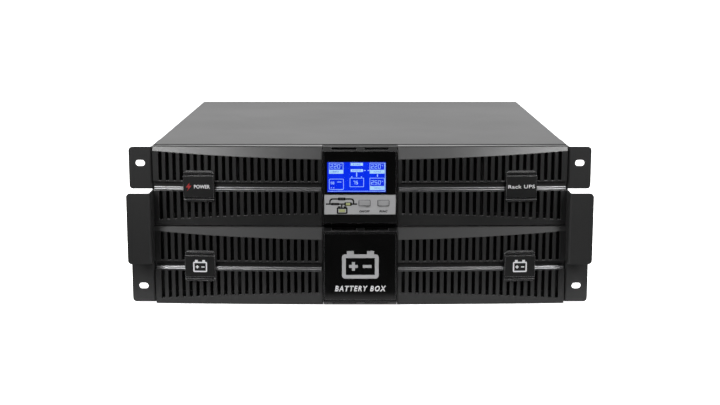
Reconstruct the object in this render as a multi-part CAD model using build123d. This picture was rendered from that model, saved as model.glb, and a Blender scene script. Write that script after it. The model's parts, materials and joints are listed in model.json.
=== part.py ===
from build123d import *
import os
from math import asin, atan2, cos, degrees, pi, radians, sin, sqrt

# A rack-mount uninterruptible power supply: a 2U power unit standing on its 2U battery box, held
# together by one 4U bracket on each side.
#
# Axes: +X to the right of someone facing the front, +Y towards the back, +Z up.
# Origin: the middle of the footprint, on the plane that the battery box stands on.

# --- Driving dimensions (mm) -------------------------------------------------------------------

RACK_UNIT = 44.45            # height step of a 19-inch rack
HOLE_SPACING_X = 465.1       # rack hole centres, left to right
HOLE_SPACING_Z = 3 * RACK_UNIT
CASE_WIDTH = 438.0
UNIT_HEIGHT = 86.0           # one 2U unit
CASE_DEPTH = 444.7
BEZEL_BACK = 7.3             # how far the case front lies behind the bracket ears
HANDLE_REACH = 23.0          # how far the handle flanges stand in front of the ears
REAR_REACH = 10.0            # furthest rear fitting behind the case
EAR_WIDTH = 489.0            # overall, across both brackets
SHEET = 1.2                  # case sheet metal
BRACKET_SHEET = 2.0

EAR_Y = HANDLE_REACH - (HANDLE_REACH + BEZEL_BACK + CASE_DEPTH + REAR_REACH) / 2
CASE_FRONT = EAR_Y + BEZEL_BACK
CASE_BACK = CASE_FRONT + CASE_DEPTH
HALF_WIDTH = CASE_WIDTH / 2
BATTERY_BASE = 0.0
UPS_BASE = UNIT_HEIGHT
SEAM = UNIT_HEIGHT
MIDDLE = UNIT_HEIGHT / 2     # height of a unit's centre line above its base

# Bezel: a bowed front face with a chamfer along its top and bottom
BEZEL_HALF_HEIGHT = 42.5
FACE_REACH = 12.0            # front face in front of the ears, on the centre line
FACE_FALL = 9.0              # how much less it is at the ends
RIM_REACH = 7.5              # the same two for the rim above the chamfer
RIM_FALL = 6.25
CHAMFER_HEIGHT = 13.6        # on the centre line
FRONT_WALL = 5.0
SIDE_WALL = 2.5
GROOVE_Z = (-5.0, 4.3)       # groove along the centre line
GROOVE_DEPTH = 3.5
TRIM_HEIGHT = 4.1

# Vent slots
SLOT_COUNT = 23              # in each half of a row
SLOT_PITCH = 7.5
SLOT_FIRST = 46.0
SLOT_WIDTH = 3.6
SLOT_CORNER = 0.7
SLOT_INNER_END = 5.6         # distance of a slot's inner end from the bezel's centre line

# Centre modules (display above, battery panel below)
MODULE_HALF_WIDTH = 39.2
MODULE_GAP = 0.5
MODULE_HALF_HEIGHT = 42.3
MODULE_FACE = 13.5           # front of the module in front of the ears
MODULE_RIM = 7.3
MODULE_CHAMFER = 4.1
MODULE_WALL = 2.0
MODULE_BACK = -4.6           # negative: behind the ears
POCKET_FLOOR = -5.0
PLATE_THICKNESS = 1.6        # glossy window and face plate
FINGER_GROOVES = [(-30.0, -3.5), (4.5, 30.0)]    # along X, in the chamfers of a module
FINGER_GROOVE_WIDTH = 4.2
FINGER_GROOVE_DEPTH = 2.3
RAIL_X = MODULE_HALF_WIDTH - MODULE_WALL / 2
RAIL_SIZE = (MODULE_WALL, 16.0)
RAIL_LENGTH = 26.0
RAIL_CLEARANCE = 0.4

# Display module details: (low, high) along X and along Z from the unit's centre line
WINDOW_X = (-37.6, 37.6)
WINDOW_Z = (-7.8, 37.6)
LABEL_Z = (-29.1, -8.2)
LABEL_THICKNESS = 0.6
LCD_X = (-36.7, 28.8)
LCD_Z = (-7.0, 28.5)
GLASS_X = (-34.9, 27.0)
GLASS_Z = (-5.7, 27.3)
GLASS_GAP = 0.3
BUTTON_X = (4.8, 24.7)
BUTTON_Z = -16.9
BUTTON_SIZE = (12.2, 6.4)
BUTTON_CORNER = 1.4
BUTTON_PROUD = 1.0
BUTTON_CLEARANCE = 0.3

# Badges
BADGE_X = 170.0
BADGE_SIZE = (32.4, 33.6)
BADGE_FACE_HALF = 11.4
BADGE_GROOVE_HALF = 13.4
BADGE_HEIGHT = 3.2
BADGE_LIP_HEIGHT = 2.4
BADGE_GAP = 0.4
SPIGOT_RADIUS = 3.5
RUNNING_CLEARANCE = 0.05
BOSS_RADIUS = 8.0
BOSS_DEPTH = 6.0

# Brackets
TAB_INNER_Z = 39.2           # inner edge of an ear tab, from the seam
TAB_OUTER_Z = 84.0
FLANGE_HALF_HEIGHT = 37.75
EAR_CORNER = 4.0
SIDE_PLATE_DEPTH = 62.0
BEND_RADIUS = 3.4            # outside of the bends
EAR_SLOT = (10.0, 6.6)       # length and width of a rack slot

# Fans
FAN_SIZE = 80.0
FAN_DEPTH = 25.0
FAN_X = (-165.0, -80.0)
FAN_BORE = 38.0
HUB_RADIUS = 17.0
SHAFT_RADIUS = 1.5
BLADES = 7

# --- Rear fittings: X and height above the unit's base ------------------------------------------

OUTLETS = [(-14.0, 24.0), (-14.0, 58.0), (24.0, 24.0), (24.0, 58.0)]
OUTLET_BODY = (33.0, 27.0, 22.0)
INLET_AT = (68.0, 26.0)
INLET_BODY = (42.0, 32.0, 26.0)
INLET_CAVITY = (31.5, 22.0, 20.0)
BREAKER_AT = (68.0, 63.0)
UPS_SOCKET_AT = (122.0, 24.0)
SERIAL_AT = (112.0, 62.0)
USB_AT = (140.0, 62.0)
TRIP_AT = (158.0, 62.0)
CARD_AT = (184.0, 40.0)
CARD_SIZE = (30.0, 56.0)
EARTH_AT = (160.0, 14.0)
SOCKET_BODY = (46.0, 20.0, 26.0)
SOCKET_CAVITY = (16.0, 11.0, 16.0)
BOX_SOCKETS = [(-120.0, 43.0), (-60.0, 43.0)]
DC_BREAKER_AT = (60.0, 43.0)
DC_BREAKER_SIZE = (36.0, 45.0, 46.0)
FUSE_AT = (130.0, 43.0)
LEVER_PIVOT_BACK = 2.0       # how far the lever's pivot lies inside the panel's outer face
LEVER_BORE = 1.5

# Inside
BOARD_THICKNESS = 1.6
STANDOFF = 8.0
BATTERY_SIZE = (94.0, 151.0, 65.0)
BATTERY_GAP = 3.0
BATTERY_FRONT = 40.0         # from the case front to the first row
TAB_OFFSET = 34.0            # terminal tabs, either side of a block's middle


# --- Helpers ------------------------------------------------------------------------------------

def block(x, y, z):
    """A box given as three (low, high) pairs."""
    sizes = [high - low for low, high in (x, y, z)]
    middles = [(high + low) / 2 for low, high in (x, y, z)]
    return Pos(*middles) * Box(*sizes)


def about(centre, size):
    """The (low, high) pair of a length centred on a place."""
    return (centre - size / 2, centre + size / 2)


def mirrored(span):
    """The (low, high) pair on the other side of X = 0."""
    return (-span[1], -span[0])


def rod(start, end, radius):
    """A round bar between two points."""
    along = Vector(*end) - Vector(*start)
    return extrude(Plane(origin=start, z_dir=along) * Circle(radius), along.length)


def rod_y(x, z, y, radius):
    """A round bar along Y, between y[0] and y[1]."""
    return rod((x, y[0], z), (x, y[1], z), radius)


def rod_z(x, y, z, radius):
    """A round bar along Z, between z[0] and z[1]."""
    return rod((x, y, z[0]), (x, y, z[1]), radius)


def plate_xz(sketch, x, z, y):
    """A sketch stood up in the XZ plane at (x, z) and thickened between y[0] and y[1]."""
    plane = Plane(origin=(x, y[1], z), x_dir=(1, 0, 0), z_dir=(0, -1, 0))
    return extrude(plane * sketch, y[1] - y[0])


def group(items):
    """Several separate solids that share one node."""
    return Compound([solid for item in items for solid in item.solids()])


def front(reach):
    """The Y of something that stands reach in front of the bracket ears."""
    return EAR_Y - reach


def behind(distance):
    """The Y of something that lies a distance behind the case front."""
    return CASE_FRONT + distance


def arc_radius(fall):
    """Radius of the arc that falls by that much between the middle and an end of the bezel."""
    return (HALF_WIDTH**2 + fall**2) / (2 * fall)


FACE_RADIUS = arc_radius(FACE_FALL)
RIM_RADIUS = arc_radius(RIM_FALL)
CHAMFER_SLOPE = CHAMFER_HEIGHT / (FACE_REACH - RIM_REACH)


def face_reach(x):
    """How far the bowed front face stands in front of the ears, at x."""
    return FACE_REACH - FACE_RADIUS + sqrt(FACE_RADIUS**2 - x**2)


def rim_reach(x):
    return RIM_REACH - RIM_RADIUS + sqrt(RIM_RADIUS**2 - x**2)


def chamfer_height(x):
    """How far the chamfer comes down the front face, at x."""
    return CHAMFER_SLOPE * (face_reach(x) - rim_reach(x))


def face_tilt(x):
    """The angle in degrees that the bowed face has turned away from the front, at x."""
    return degrees(asin(x / FACE_RADIUS))


# --- Bezel --------------------------------------------------------------------------------------

def chamfer_envelope(inset):
    """The space between the two cones that cut the bezel's chamfers, drawn smaller by inset."""
    top = BEZEL_HALF_HEIGHT - inset
    rim = RIM_REACH - inset
    ridge = rim + top / CHAMFER_SLOPE
    corners = [(-30, top), (rim, top), (ridge, 0), (rim, -top), (-30, -top)]
    outline = make_face(Polyline(corners, close=True))
    section = Plane(origin=(0, EAR_Y, 0), x_dir=(0, -1, 0), z_dir=(-1, 0, 0)) * outline
    axis = Axis((0, front(RIM_REACH) + RIM_RADIUS, 0), (0, 0, 1))
    swing = 2 * degrees(asin(HALF_WIDTH / RIM_RADIUS)) + 0.5
    return revolve(section, axis, swing).rotate(axis, -swing / 2)


def bowed_block(x, inset, back):
    """A block with a bowed front, from inset inside the front face to back behind the ears."""
    ends = [(at, front(face_reach(at) - inset)) for at in (x[0], sum(x) / 2, x[1])]
    corners = [ends[2], (x[1], front(-back)), (x[0], front(-back)), ends[0]]
    outline = make_face([ThreePointArc(*ends), Polyline(*corners)])
    return Pos(0, 0, -MIDDLE) * extrude(outline, 2 * MIDDLE)


def bowed_bar(x, out, depth, z):
    """A bar that follows the bowed face, from out in front of it to depth behind it."""
    points = [(at, front(face_reach(at) + out)) for at in (x[0], (x[0] + x[1]) / 2, x[1])]
    inner = [(at, front(face_reach(at) - depth)) for at in (x[1], (x[0] + x[1]) / 2, x[0])]
    edges = [
        ThreePointArc(*points),
        Line(points[2], inner[0]),
        ThreePointArc(*inner),
        Line(inner[2], points[0]),
    ]
    return Pos(0, 0, z[0]) * extrude(make_face(edges), z[1] - z[0])


def vent_slots():
    """All the slots of one bezel, about its centre line."""
    slots = []
    for column in range(SLOT_COUNT):
        x = SLOT_FIRST + SLOT_PITCH * column
        outer_end = BEZEL_HALF_HEIGHT - chamfer_height(x) - 0.2
        height = outer_end - SLOT_INNER_END
        middle = (outer_end + SLOT_INNER_END) / 2
        y = (front(face_reach(x) + 1), front(face_reach(x) - FRONT_WALL - 3))
        outline = RectangleRounded(SLOT_WIDTH, height, SLOT_CORNER)
        for side in (-1, 1):
            for row in (-1, 1):
                slots.append(plate_xz(outline, side * x, row * middle, y))
    return slots


def badge_plane(side, z):
    """The plane touching the bowed face where a badge turns, its z axis pointing outwards."""
    tilt = radians(face_tilt(side * BADGE_X))
    return Plane(
        origin=(side * BADGE_X, front(face_reach(BADGE_X)), z),
        x_dir=(cos(tilt), sin(tilt), 0),
        z_dir=(sin(tilt), -cos(tilt), 0),
    )


def rail_places():
    return [(-RAIL_X, 0.0), (RAIL_X, 0.0)]


def front_bezel():
    """The moulded front about its centre line: vents, groove, badge bosses and module pocket."""
    shell = bowed_block((-HALF_WIDTH, HALF_WIDTH), 0, BEZEL_BACK) & chamfer_envelope(0)
    pocket_side = MODULE_HALF_WIDTH + MODULE_GAP
    hollow = (pocket_side + SIDE_WALL, HALF_WIDTH - SIDE_WALL)
    inner_envelope = chamfer_envelope(SIDE_WALL)
    for ends in (hollow, mirrored(hollow)):
        shell -= bowed_block(ends, FRONT_WALL, BEZEL_BACK + 1) & inner_envelope
    pocket_z = (-UNIT_HEIGHT, UNIT_HEIGHT)
    shell -= block((-pocket_side, pocket_side), (front(30), front(POCKET_FLOOR)), pocket_z)
    for ends in ((pocket_side - 1, HALF_WIDTH + 1), (-HALF_WIDTH - 1, -pocket_side + 1)):
        shell -= bowed_bar(ends, 2, GROOVE_DEPTH, GROOVE_Z)
    shell -= vent_slots()
    for side in (-1, 1):
        plane = badge_plane(side, 0)
        shell += plane * Pos(0, 0, -BOSS_DEPTH / 2) * Cylinder(BOSS_RADIUS, BOSS_DEPTH)
        shell -= plane * Cylinder(SPIGOT_RADIUS + RUNNING_CLEARANCE, 4 * BOSS_DEPTH)
    for x, z in rail_places():
        width, height = [size + 2 * RAIL_CLEARANCE for size in RAIL_SIZE]
        shell -= block(about(x, width), (front(0), front(-20)), about(z, height))
    return shell - block((-9, 9), (front(0), front(-20)), (-6, 6))


def trim_strips(base):
    """Two bright strips in the lower half of the groove, each in two lengths beside its badge."""
    valley = 0.6
    reach = FACE_REACH - 0.5
    inner = reach - GROOVE_DEPTH + 0.7
    low = GROOVE_Z[0] + 0.1
    high = low + TRIM_HEIGHT
    waist = (low + high) / 2
    outline = [
        Line((inner, low), (reach - valley, low)),
        ThreePointArc((reach - valley, low), (reach, (low + waist) / 2), (reach - valley, waist)),
        ThreePointArc((reach - valley, waist), (reach, (waist + high) / 2), (reach - valley, high)),
        Line((reach - valley, high), (inner, high)),
        Line((inner, high), (inner, low)),
    ]
    section = Plane(origin=(0, EAR_Y, 0), x_dir=(0, -1, 0), z_dir=(-1, 0, 0)) * make_face(outline)
    bow_axis = Axis((0, front(FACE_REACH) + FACE_RADIUS, 0), (0, 0, 1))
    pieces = []
    for start, end in ((MODULE_HALF_WIDTH + 1.6, BADGE_X - 10), (BADGE_X + 10, HALF_WIDTH - 1)):
        swing = degrees((end - start) / FACE_RADIUS)
        for first in (start, -end):
            strip = revolve(section, bow_axis, swing)
            pieces.append(strip.rotate(bow_axis, degrees(first / FACE_RADIUS)))
    return Pos(0, 0, base + MIDDLE) * group(pieces)


# --- Sheet metal of a unit ----------------------------------------------------------------------

def chassis_base(base):
    """Bottom, low side flanges and front wall, with air openings behind the bezel's vents."""
    inside = HALF_WIDTH - SHEET
    y = (CASE_FRONT, CASE_BACK - SHEET)
    tray = block((-inside, inside), y, (0, SHEET))
    for side in ((inside - SHEET, inside), (-inside, -inside + SHEET)):
        tray += block(side, y, (0, 14))
    wall = block((-inside, inside), (CASE_FRONT, CASE_FRONT + SHEET), (0, UNIT_HEIGHT - SHEET))
    for side in ((50, 125), (131, 206)):
        for span in (side, mirrored(side)):
            wall -= block(span, (CASE_FRONT - 1, CASE_FRONT + 3), (12, 74))
    for x, z in rail_places():
        width, height = [size + 2 * RAIL_CLEARANCE for size in RAIL_SIZE]
        wall -= block(about(x, width), (CASE_FRONT - 1, CASE_FRONT + 3), about(MIDDLE, height))
    wall -= block((-9, 9), (CASE_FRONT - 1, CASE_FRONT + 3), (MIDDLE - 6, MIDDLE + 6))
    return Pos(0, 0, base) * (tray + wall)


def dust_filters():
    """Foam sheets behind the air openings of both front walls."""
    y = (CASE_FRONT + SHEET, CASE_FRONT + SHEET + 4)
    spans = ((48, 208), (-208, -48))
    return group([block(x, y, (base + 10, base + 76)) for base in (0, UPS_BASE) for x in spans])


def unit_cover(base):
    """The inverted U of sheet metal that makes the top and both sides."""
    y = (CASE_FRONT, CASE_BACK)
    outer = block((-HALF_WIDTH, HALF_WIDTH), y, (0, UNIT_HEIGHT))
    edges = outer.edges().filter_by(Axis.Y).sort_by(Axis.Z)[-2:]
    outer = fillet(edges, 1.5)
    inside = HALF_WIDTH - SHEET
    cover = outer - block((-inside, inside), (y[0] - 1, y[1] + 1), (-1, UNIT_HEIGHT - SHEET))
    for middle in (-75, 75):
        for x in (middle - 1.6, middle + 1.6):
            cover -= rod_z(x, CASE_FRONT + 4, (UNIT_HEIGHT - 0.5, UNIT_HEIGHT + 1), 0.8)
    for y_at, z_at in bracket_screw_places():
        cover -= rod((-HALF_WIDTH - 1, y_at, z_at - base), (HALF_WIDTH + 1, y_at, z_at - base), 2.2)
    return Pos(0, 0, base) * cover


def panel_blank():
    """A unit's rear panel before its openings, with the holes of its four screws."""
    inside = HALF_WIDTH - SHEET
    panel = block((-inside, inside), (CASE_BACK - SHEET, CASE_BACK), (0, UNIT_HEIGHT - SHEET))
    return panel - [panel_bore(x, z, 1.6) for x, z in panel_screw_places()]


def panel_screw_places():
    return [(x, z) for x in (-213, 213) for z in (8, 78)]


def panel_cut(x, z, width, height):
    """The tool that cuts a rectangular window through a rear panel."""
    return block(about(x, width), (CASE_BACK - 5, CASE_BACK + 5), about(z, height))


def panel_bore(x, z, radius):
    return rod_y(x, z, (CASE_BACK - 5, CASE_BACK + 5), radius)


def ups_rear_panel():
    panel = panel_blank()
    for x in FAN_X:
        panel -= panel_bore(x, MIDDLE, FAN_BORE)
    for x, z in OUTLETS:
        panel -= panel_cut(x, z, OUTLET_BODY[0] - 3, OUTLET_BODY[1] - 3)
    panel -= panel_cut(*INLET_AT, INLET_BODY[0] - 3, INLET_BODY[1] - 3)
    panel -= panel_bore(*BREAKER_AT, 8)
    panel -= panel_cut(*UPS_SOCKET_AT, SOCKET_BODY[0] - 3, SOCKET_BODY[1] - 3)
    panel -= panel_cut(*SERIAL_AT, 18, 9)
    panel -= panel_cut(*USB_AT, 11.4, 10.4)
    panel -= panel_cut(*TRIP_AT, 11.4, 9.4)
    panel -= panel_cut(*CARD_AT, CARD_SIZE[0] - 6, CARD_SIZE[1] - 8)
    return Pos(0, 0, UPS_BASE) * panel


def battery_rear_panel():
    panel = panel_blank()
    for x, z in BOX_SOCKETS:
        panel -= panel_cut(x, z, SOCKET_BODY[0] - 3, SOCKET_BODY[1] - 3)
    panel -= panel_cut(*DC_BREAKER_AT, DC_BREAKER_SIZE[0], DC_BREAKER_SIZE[1])
    panel -= panel_bore(*FUSE_AT, 8)
    slots = [(-190 + 6 * column, row) for column in range(6) for row in (24, 62)]
    panel -= [panel_cut(x, z, 2.5, 26) for x, z in slots]
    panel -= [panel_cut(-x, z, 2.5, 26) for x, z in slots]
    return Pos(0, 0, BATTERY_BASE) * panel


# --- Brackets -----------------------------------------------------------------------------------

def bent_strip(y, z):
    """Sheet that runs forward from y[1], then bends outward at y[0] into a flange with round corners."""
    inner, outer, thick = HALF_WIDTH, EAR_WIDTH / 2, BRACKET_SHEET
    centre_x, centre_y = inner + BEND_RADIUS, y[0] + BEND_RADIUS
    diagonal = cos(pi / 4)
    bends = [
        ThreePointArc(
            (centre_x - radius, centre_y),
            (centre_x - radius * diagonal, centre_y - radius * diagonal),
            (centre_x, centre_y - radius),
        )
        for radius in (BEND_RADIUS, BEND_RADIUS - thick)
    ]
    outline = [
        Line((inner, y[1]), (inner, centre_y)),
        bends[0],
        Polyline((centre_x, y[0]), (outer, y[0]), (outer, y[0] + thick), (centre_x, y[0] + thick)),
        bends[1],
        Polyline((inner + thick, centre_y), (inner + thick, y[1]), (inner, y[1])),
    ]
    strip = Pos(0, 0, z[0]) * extrude(make_face(outline), z[1] - z[0])
    corners = strip.edges().filter_by(Axis.Y).sort_by(Axis.X)[-2:]
    return fillet(corners, EAR_CORNER)


def rack_ear(side):
    """One 4U bracket: side plate, two slotted ears and a forward web that ends in a handle flange."""
    inner, thick = HALF_WIDTH, BRACKET_SHEET
    plate_start = EAR_Y + BEND_RADIUS
    plate_z = (SEAM - TAB_OUTER_Z, SEAM + TAB_OUTER_Z)
    ear = block((inner, inner + thick), (plate_start, EAR_Y + SIDE_PLATE_DEPTH), plate_z)
    for low, high in ((TAB_INNER_Z, TAB_OUTER_Z), (-TAB_OUTER_Z, -TAB_INNER_Z)):
        tab = bent_strip((EAR_Y, plate_start + 1), (SEAM + low, SEAM + high))
        slot_z = SEAM + (HOLE_SPACING_Z / 2 if low > 0 else -HOLE_SPACING_Z / 2)
        slot = SlotOverall(*EAR_SLOT)
        ear += tab - plate_xz(slot, HOLE_SPACING_X / 2, slot_z, (EAR_Y - 1, EAR_Y + thick + 1))
    web_z = (SEAM - FLANGE_HALF_HEIGHT, SEAM + FLANGE_HALF_HEIGHT)
    ear += bent_strip((EAR_Y - HANDLE_REACH, plate_start + 1), web_z)
    for y, z in bracket_screw_places():
        ear -= rod((inner - 1, y, z), (inner + thick + 1, y, z), 2.2)
        ear -= Pos(inner + thick - 0.7, y, z) * Rot(0, 90, 0) * Cone(2.2, 4.2, 1.5)
    return ear if side > 0 else mirror(ear, Plane.YZ)


def bracket_screw_places():
    """Y and Z of the screws that hold one bracket to both cases."""
    return [
        (EAR_Y + y, SEAM + z)
        for y in (22, 48)
        for z in (-64, -24, 24, 64)
    ]


def countersunk_screw(y, z):
    """A countersunk screw through the right bracket, its head level with the bracket."""
    surface = HALF_WIDTH + BRACKET_SHEET
    head = Pos(surface - 0.75, y, z) * Rot(0, 90, 0) * Cone(2.05, 4.0, 1.5)
    shank = rod((HALF_WIDTH - 7, y, z), (surface - 1.4, y, z), 2.0)
    recess = rod((surface - 1.0, y, z), (surface + 1, y, z), 1.0)
    return head + shank - recess


def pan_screw(x, z):
    """A pan-head screw at the edge of a rear panel, its head outside."""
    head = rod_y(x, z, (CASE_BACK, CASE_BACK + 2), 3.0)
    shank = rod_y(x, z, (CASE_BACK - 8, CASE_BACK), 1.5)
    cross = block(about(x, 3.2), (CASE_BACK + 1, CASE_BACK + 3), about(z, 0.7))
    cross += block(about(x, 0.7), (CASE_BACK + 1, CASE_BACK + 3), about(z, 3.2))
    return head + shank - cross


def case_screws():
    """The screws of both rear panels and of both brackets."""
    panel = [pan_screw(x, base + z) for base in (0, UPS_BASE) for x, z in panel_screw_places()]
    right = [countersunk_screw(y, z) for y, z in bracket_screw_places()]
    return group(panel + right + [mirror(screw, Plane.YZ) for screw in right])


# --- Centre modules -----------------------------------------------------------------------------

def module_housing():
    """The moulded box of a centre module about the unit's centre line, open at the back."""
    height = MODULE_HALF_HEIGHT
    outline = [
        (-MODULE_BACK, height),
        (-MODULE_RIM, height),
        (-MODULE_FACE, height - MODULE_CHAMFER),
        (-MODULE_FACE, MODULE_CHAMFER - height),
        (-MODULE_RIM, -height),
        (-MODULE_BACK, -height),
    ]
    section = Plane(origin=(-MODULE_HALF_WIDTH, EAR_Y, 0), x_dir=(0, 1, 0), z_dir=(1, 0, 0))
    body = extrude(section * make_face(Polyline(outline, close=True)), 2 * MODULE_HALF_WIDTH)
    inside = MODULE_HALF_WIDTH - MODULE_WALL
    hollow_y = (front(MODULE_FACE - 4), front(MODULE_BACK - 1))
    body -= block((-inside, inside), hollow_y, (-height + 7, height - 7))
    rail_width, rail_height = RAIL_SIZE
    for x, z in rail_places():
        rail_y = (front(MODULE_BACK + 1), front(MODULE_BACK) + RAIL_LENGTH)
        body += block(about(x, rail_width), rail_y, about(z, rail_height))
    for x in FINGER_GROOVES:
        for sign in (-1, 1):
            middle = sign * (height - MODULE_CHAMFER / 2)
            reach = (MODULE_RIM + MODULE_FACE) / 2
            slope = degrees(atan2(MODULE_CHAMFER, MODULE_FACE - MODULE_RIM))
            tool = Pos(sum(x) / 2, front(reach), middle) * Rot(sign * slope, 0, 0)
            body -= tool * Box(x[1] - x[0], FINGER_GROOVE_WIDTH, 2 * FINGER_GROOVE_DEPTH)
    return body


def display_housing():
    housing = module_housing()
    face_y = (front(MODULE_FACE) - 1, front(MODULE_FACE - PLATE_THICKNESS))
    housing -= block(WINDOW_X, face_y, WINDOW_Z)
    through = (front(MODULE_FACE) - 1, front(MODULE_FACE - 6))
    opening_x = (GLASS_X[0] - GLASS_GAP, GLASS_X[1] + GLASS_GAP)
    opening_z = (GLASS_Z[0] - GLASS_GAP, GLASS_Z[1] + GLASS_GAP)
    housing -= block(opening_x, through, opening_z)
    label_y = (front(MODULE_FACE) - 1, front(MODULE_FACE - LABEL_THICKNESS))
    housing -= block(WINDOW_X, label_y, LABEL_Z)
    for x in BUTTON_X:
        housing -= button_hole(x)
    return Pos(0, 0, UPS_BASE + MIDDLE) * housing


def button_hole(x):
    width, height = [size + 2 * BUTTON_CLEARANCE for size in BUTTON_SIZE]
    outline = RectangleRounded(width, height, BUTTON_CORNER)
    return plate_xz(outline, x, BUTTON_Z, (front(MODULE_FACE + 1), front(MODULE_FACE - 6)))


def display_window():
    """The glossy plate over the upper part of the display module."""
    gap = 0.1
    x = (WINDOW_X[0] + gap, WINDOW_X[1] - gap)
    z = (WINDOW_Z[0] + gap, WINDOW_Z[1] - gap)
    y = (front(MODULE_FACE), front(MODULE_FACE - PLATE_THICKNESS))
    return Pos(0, 0, UPS_BASE + MIDDLE) * block(x, y, z)


def lcd_panel():
    """The liquid crystal panel in its bezel, seen through the window."""
    y = (front(MODULE_FACE - 4.1), front(MODULE_FACE - 9))
    body = block(LCD_X, y, LCD_Z)
    glass = block(GLASS_X, (front(MODULE_FACE - 1.7), front(MODULE_FACE - 4.1)), GLASS_Z)
    return Pos(0, 0, UPS_BASE + MIDDLE) * (body + glass)


def display_board():
    """Circuit board behind the panel, with the two switches that the buttons press."""
    y_front = MODULE_FACE - 12
    y = (front(y_front), front(y_front - BOARD_THICKNESS))
    board = block((-36.5, 36.5), y, (-33, 34))
    for x in BUTTON_X:
        switch_y = (front(y_front + 2.5), front(y_front))
        board += block(about(x, 6), switch_y, about(BUTTON_Z, 6))
    board += block((-8, 8), (front(y_front - BOARD_THICKNESS), front(MODULE_BACK)), (-4, 4))
    return Pos(0, 0, UPS_BASE + MIDDLE) * board


def control_label():
    """The grey front label around the buttons."""
    gap = 0.1
    y = (front(MODULE_FACE), front(MODULE_FACE - LABEL_THICKNESS))
    x = (WINDOW_X[0] + gap, WINDOW_X[1] - gap)
    label = block(x, y, (LABEL_Z[0] + gap, LABEL_Z[1] - gap))
    for middle in BUTTON_X:
        label -= button_hole(middle)
    return Pos(0, 0, UPS_BASE + MIDDLE) * label


def push_button(x):
    """A button cap with a retaining flange and a stem that ends just in front of its switch."""
    width, height = BUTTON_SIZE
    cap_y = (front(MODULE_FACE + BUTTON_PROUD), front(MODULE_FACE - 5.2))
    cap = plate_xz(RectangleRounded(width, height, BUTTON_CORNER), x, BUTTON_Z, cap_y)
    edges = cap.edges().filter_by_position(Axis.Y, cap_y[0] - 0.01, cap_y[0] + 0.01)
    cap = fillet(edges, 0.5)
    flange_y = (front(MODULE_FACE - 4.3), front(MODULE_FACE - 5.2))
    flange = plate_xz(Rectangle(width + 3, height + 3), x, BUTTON_Z, flange_y)
    stem = rod_y(x, BUTTON_Z, (front(MODULE_FACE - 5.2), front(MODULE_FACE - 8.4)), 1.5)
    return Pos(0, 0, UPS_BASE + MIDDLE) * (cap + flange + stem)


def battery_panel_housing():
    housing = module_housing()
    face_y = (front(MODULE_FACE) - 1, front(MODULE_FACE - PLATE_THICKNESS))
    housing -= block(WINDOW_X, face_y, (-MODULE_HALF_HEIGHT + 6.4, MODULE_HALF_HEIGHT - 6.4))
    return Pos(0, 0, BATTERY_BASE + MIDDLE) * housing


def battery_panel_face():
    """The glossy blank plate in the battery box's centre panel."""
    gap = 0.1
    x = (WINDOW_X[0] + gap, WINDOW_X[1] - gap)
    half = MODULE_HALF_HEIGHT - 6.5
    y = (front(MODULE_FACE), front(MODULE_FACE - PLATE_THICKNESS))
    return Pos(0, 0, BATTERY_BASE + MIDDLE) * block(x, y, (-half, half))


def badge(side, base):
    """A square badge that turns on a spigot: a face between two finger grooves and two lips."""
    width, height = BADGE_SIZE
    half = height / 2
    low = BADGE_GAP
    face = low + BADGE_HEIGHT
    lip = low + BADGE_LIP_HEIGHT
    groove = low + 1.0
    right = [
        (BADGE_FACE_HALF, face),
        (BADGE_FACE_HALF + 0.5, groove),
        (BADGE_GROOVE_HALF, groove),
        (BADGE_GROOVE_HALF + 0.4, lip),
        (half - 1.2, lip),
        (half, low + 0.8),
        (half, low),
    ]
    left = [(-across, up) for across, up in reversed(right)]
    section = make_face(Polyline(left + right, close=True))
    local = Plane(origin=(-width / 2, 0, 0), x_dir=(0, 1, 0), z_dir=(1, 0, 0))
    body = extrude(local * section, width)
    cut = 3.2
    corners = body.edges().filter_by(Axis.Z).group_by(Axis.Y)
    body = chamfer(corners[0] + corners[-1], cut, cut * 0.8)
    body += rod((0, 0, low + 0.5), (0, 0, -BOSS_DEPTH - 1.4), SPIGOT_RADIUS)
    snap_start = -BOSS_DEPTH - BADGE_GAP
    body += rod((0, 0, snap_start), (0, 0, -BOSS_DEPTH - 1.4), SPIGOT_RADIUS + 0.8)
    return badge_plane(side, base + MIDDLE).location * body


# --- Fans ---------------------------------------------------------------------------------------

def fan_frame(x):
    """A square frame with a round duct, and the motor seat held by four struts."""
    y = (CASE_BACK - SHEET - FAN_DEPTH, CASE_BACK - SHEET)
    z = UPS_BASE + MIDDLE
    outline = RectangleRounded(FAN_SIZE, FAN_SIZE, 4)
    frame = plate_xz(outline, x, z, y) - rod_y(x, z, (y[0] - 1, y[1] + 1), FAN_BORE)
    waist = FAN_SIZE / 2 - 7
    for side in (-1, 1):
        frame -= block(about(x, 2 * waist), (y[0] + 4, y[1] - 4), about(z + side * 40.5, 4))
        frame -= block(about(x + side * 40.5, 4), (y[0] + 4, y[1] - 4), about(z, 2 * waist))
    seat_y = (y[1] - 4, y[1])
    for turn in (45, 135):
        strut = Pos(x, sum(seat_y) / 2, z) * Rot(0, turn, 0) * Box(2 * FAN_BORE + 2, 3, 3)
        frame += strut
    frame += rod_y(x, z, seat_y, HUB_RADIUS)
    frame += rod_y(x, z, (y[0] + 12, y[1]), 4)
    frame -= rod_y(x, z, (y[0] + 11, y[1] - 1), SHAFT_RADIUS + RUNNING_CLEARANCE)
    for corner_x in (-35.75, 35.75):
        for corner_z in (-35.75, 35.75):
            frame -= rod_y(x + corner_x, z + corner_z, (y[0] - 1, y[1] + 1), 2.2)
    return frame


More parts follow.
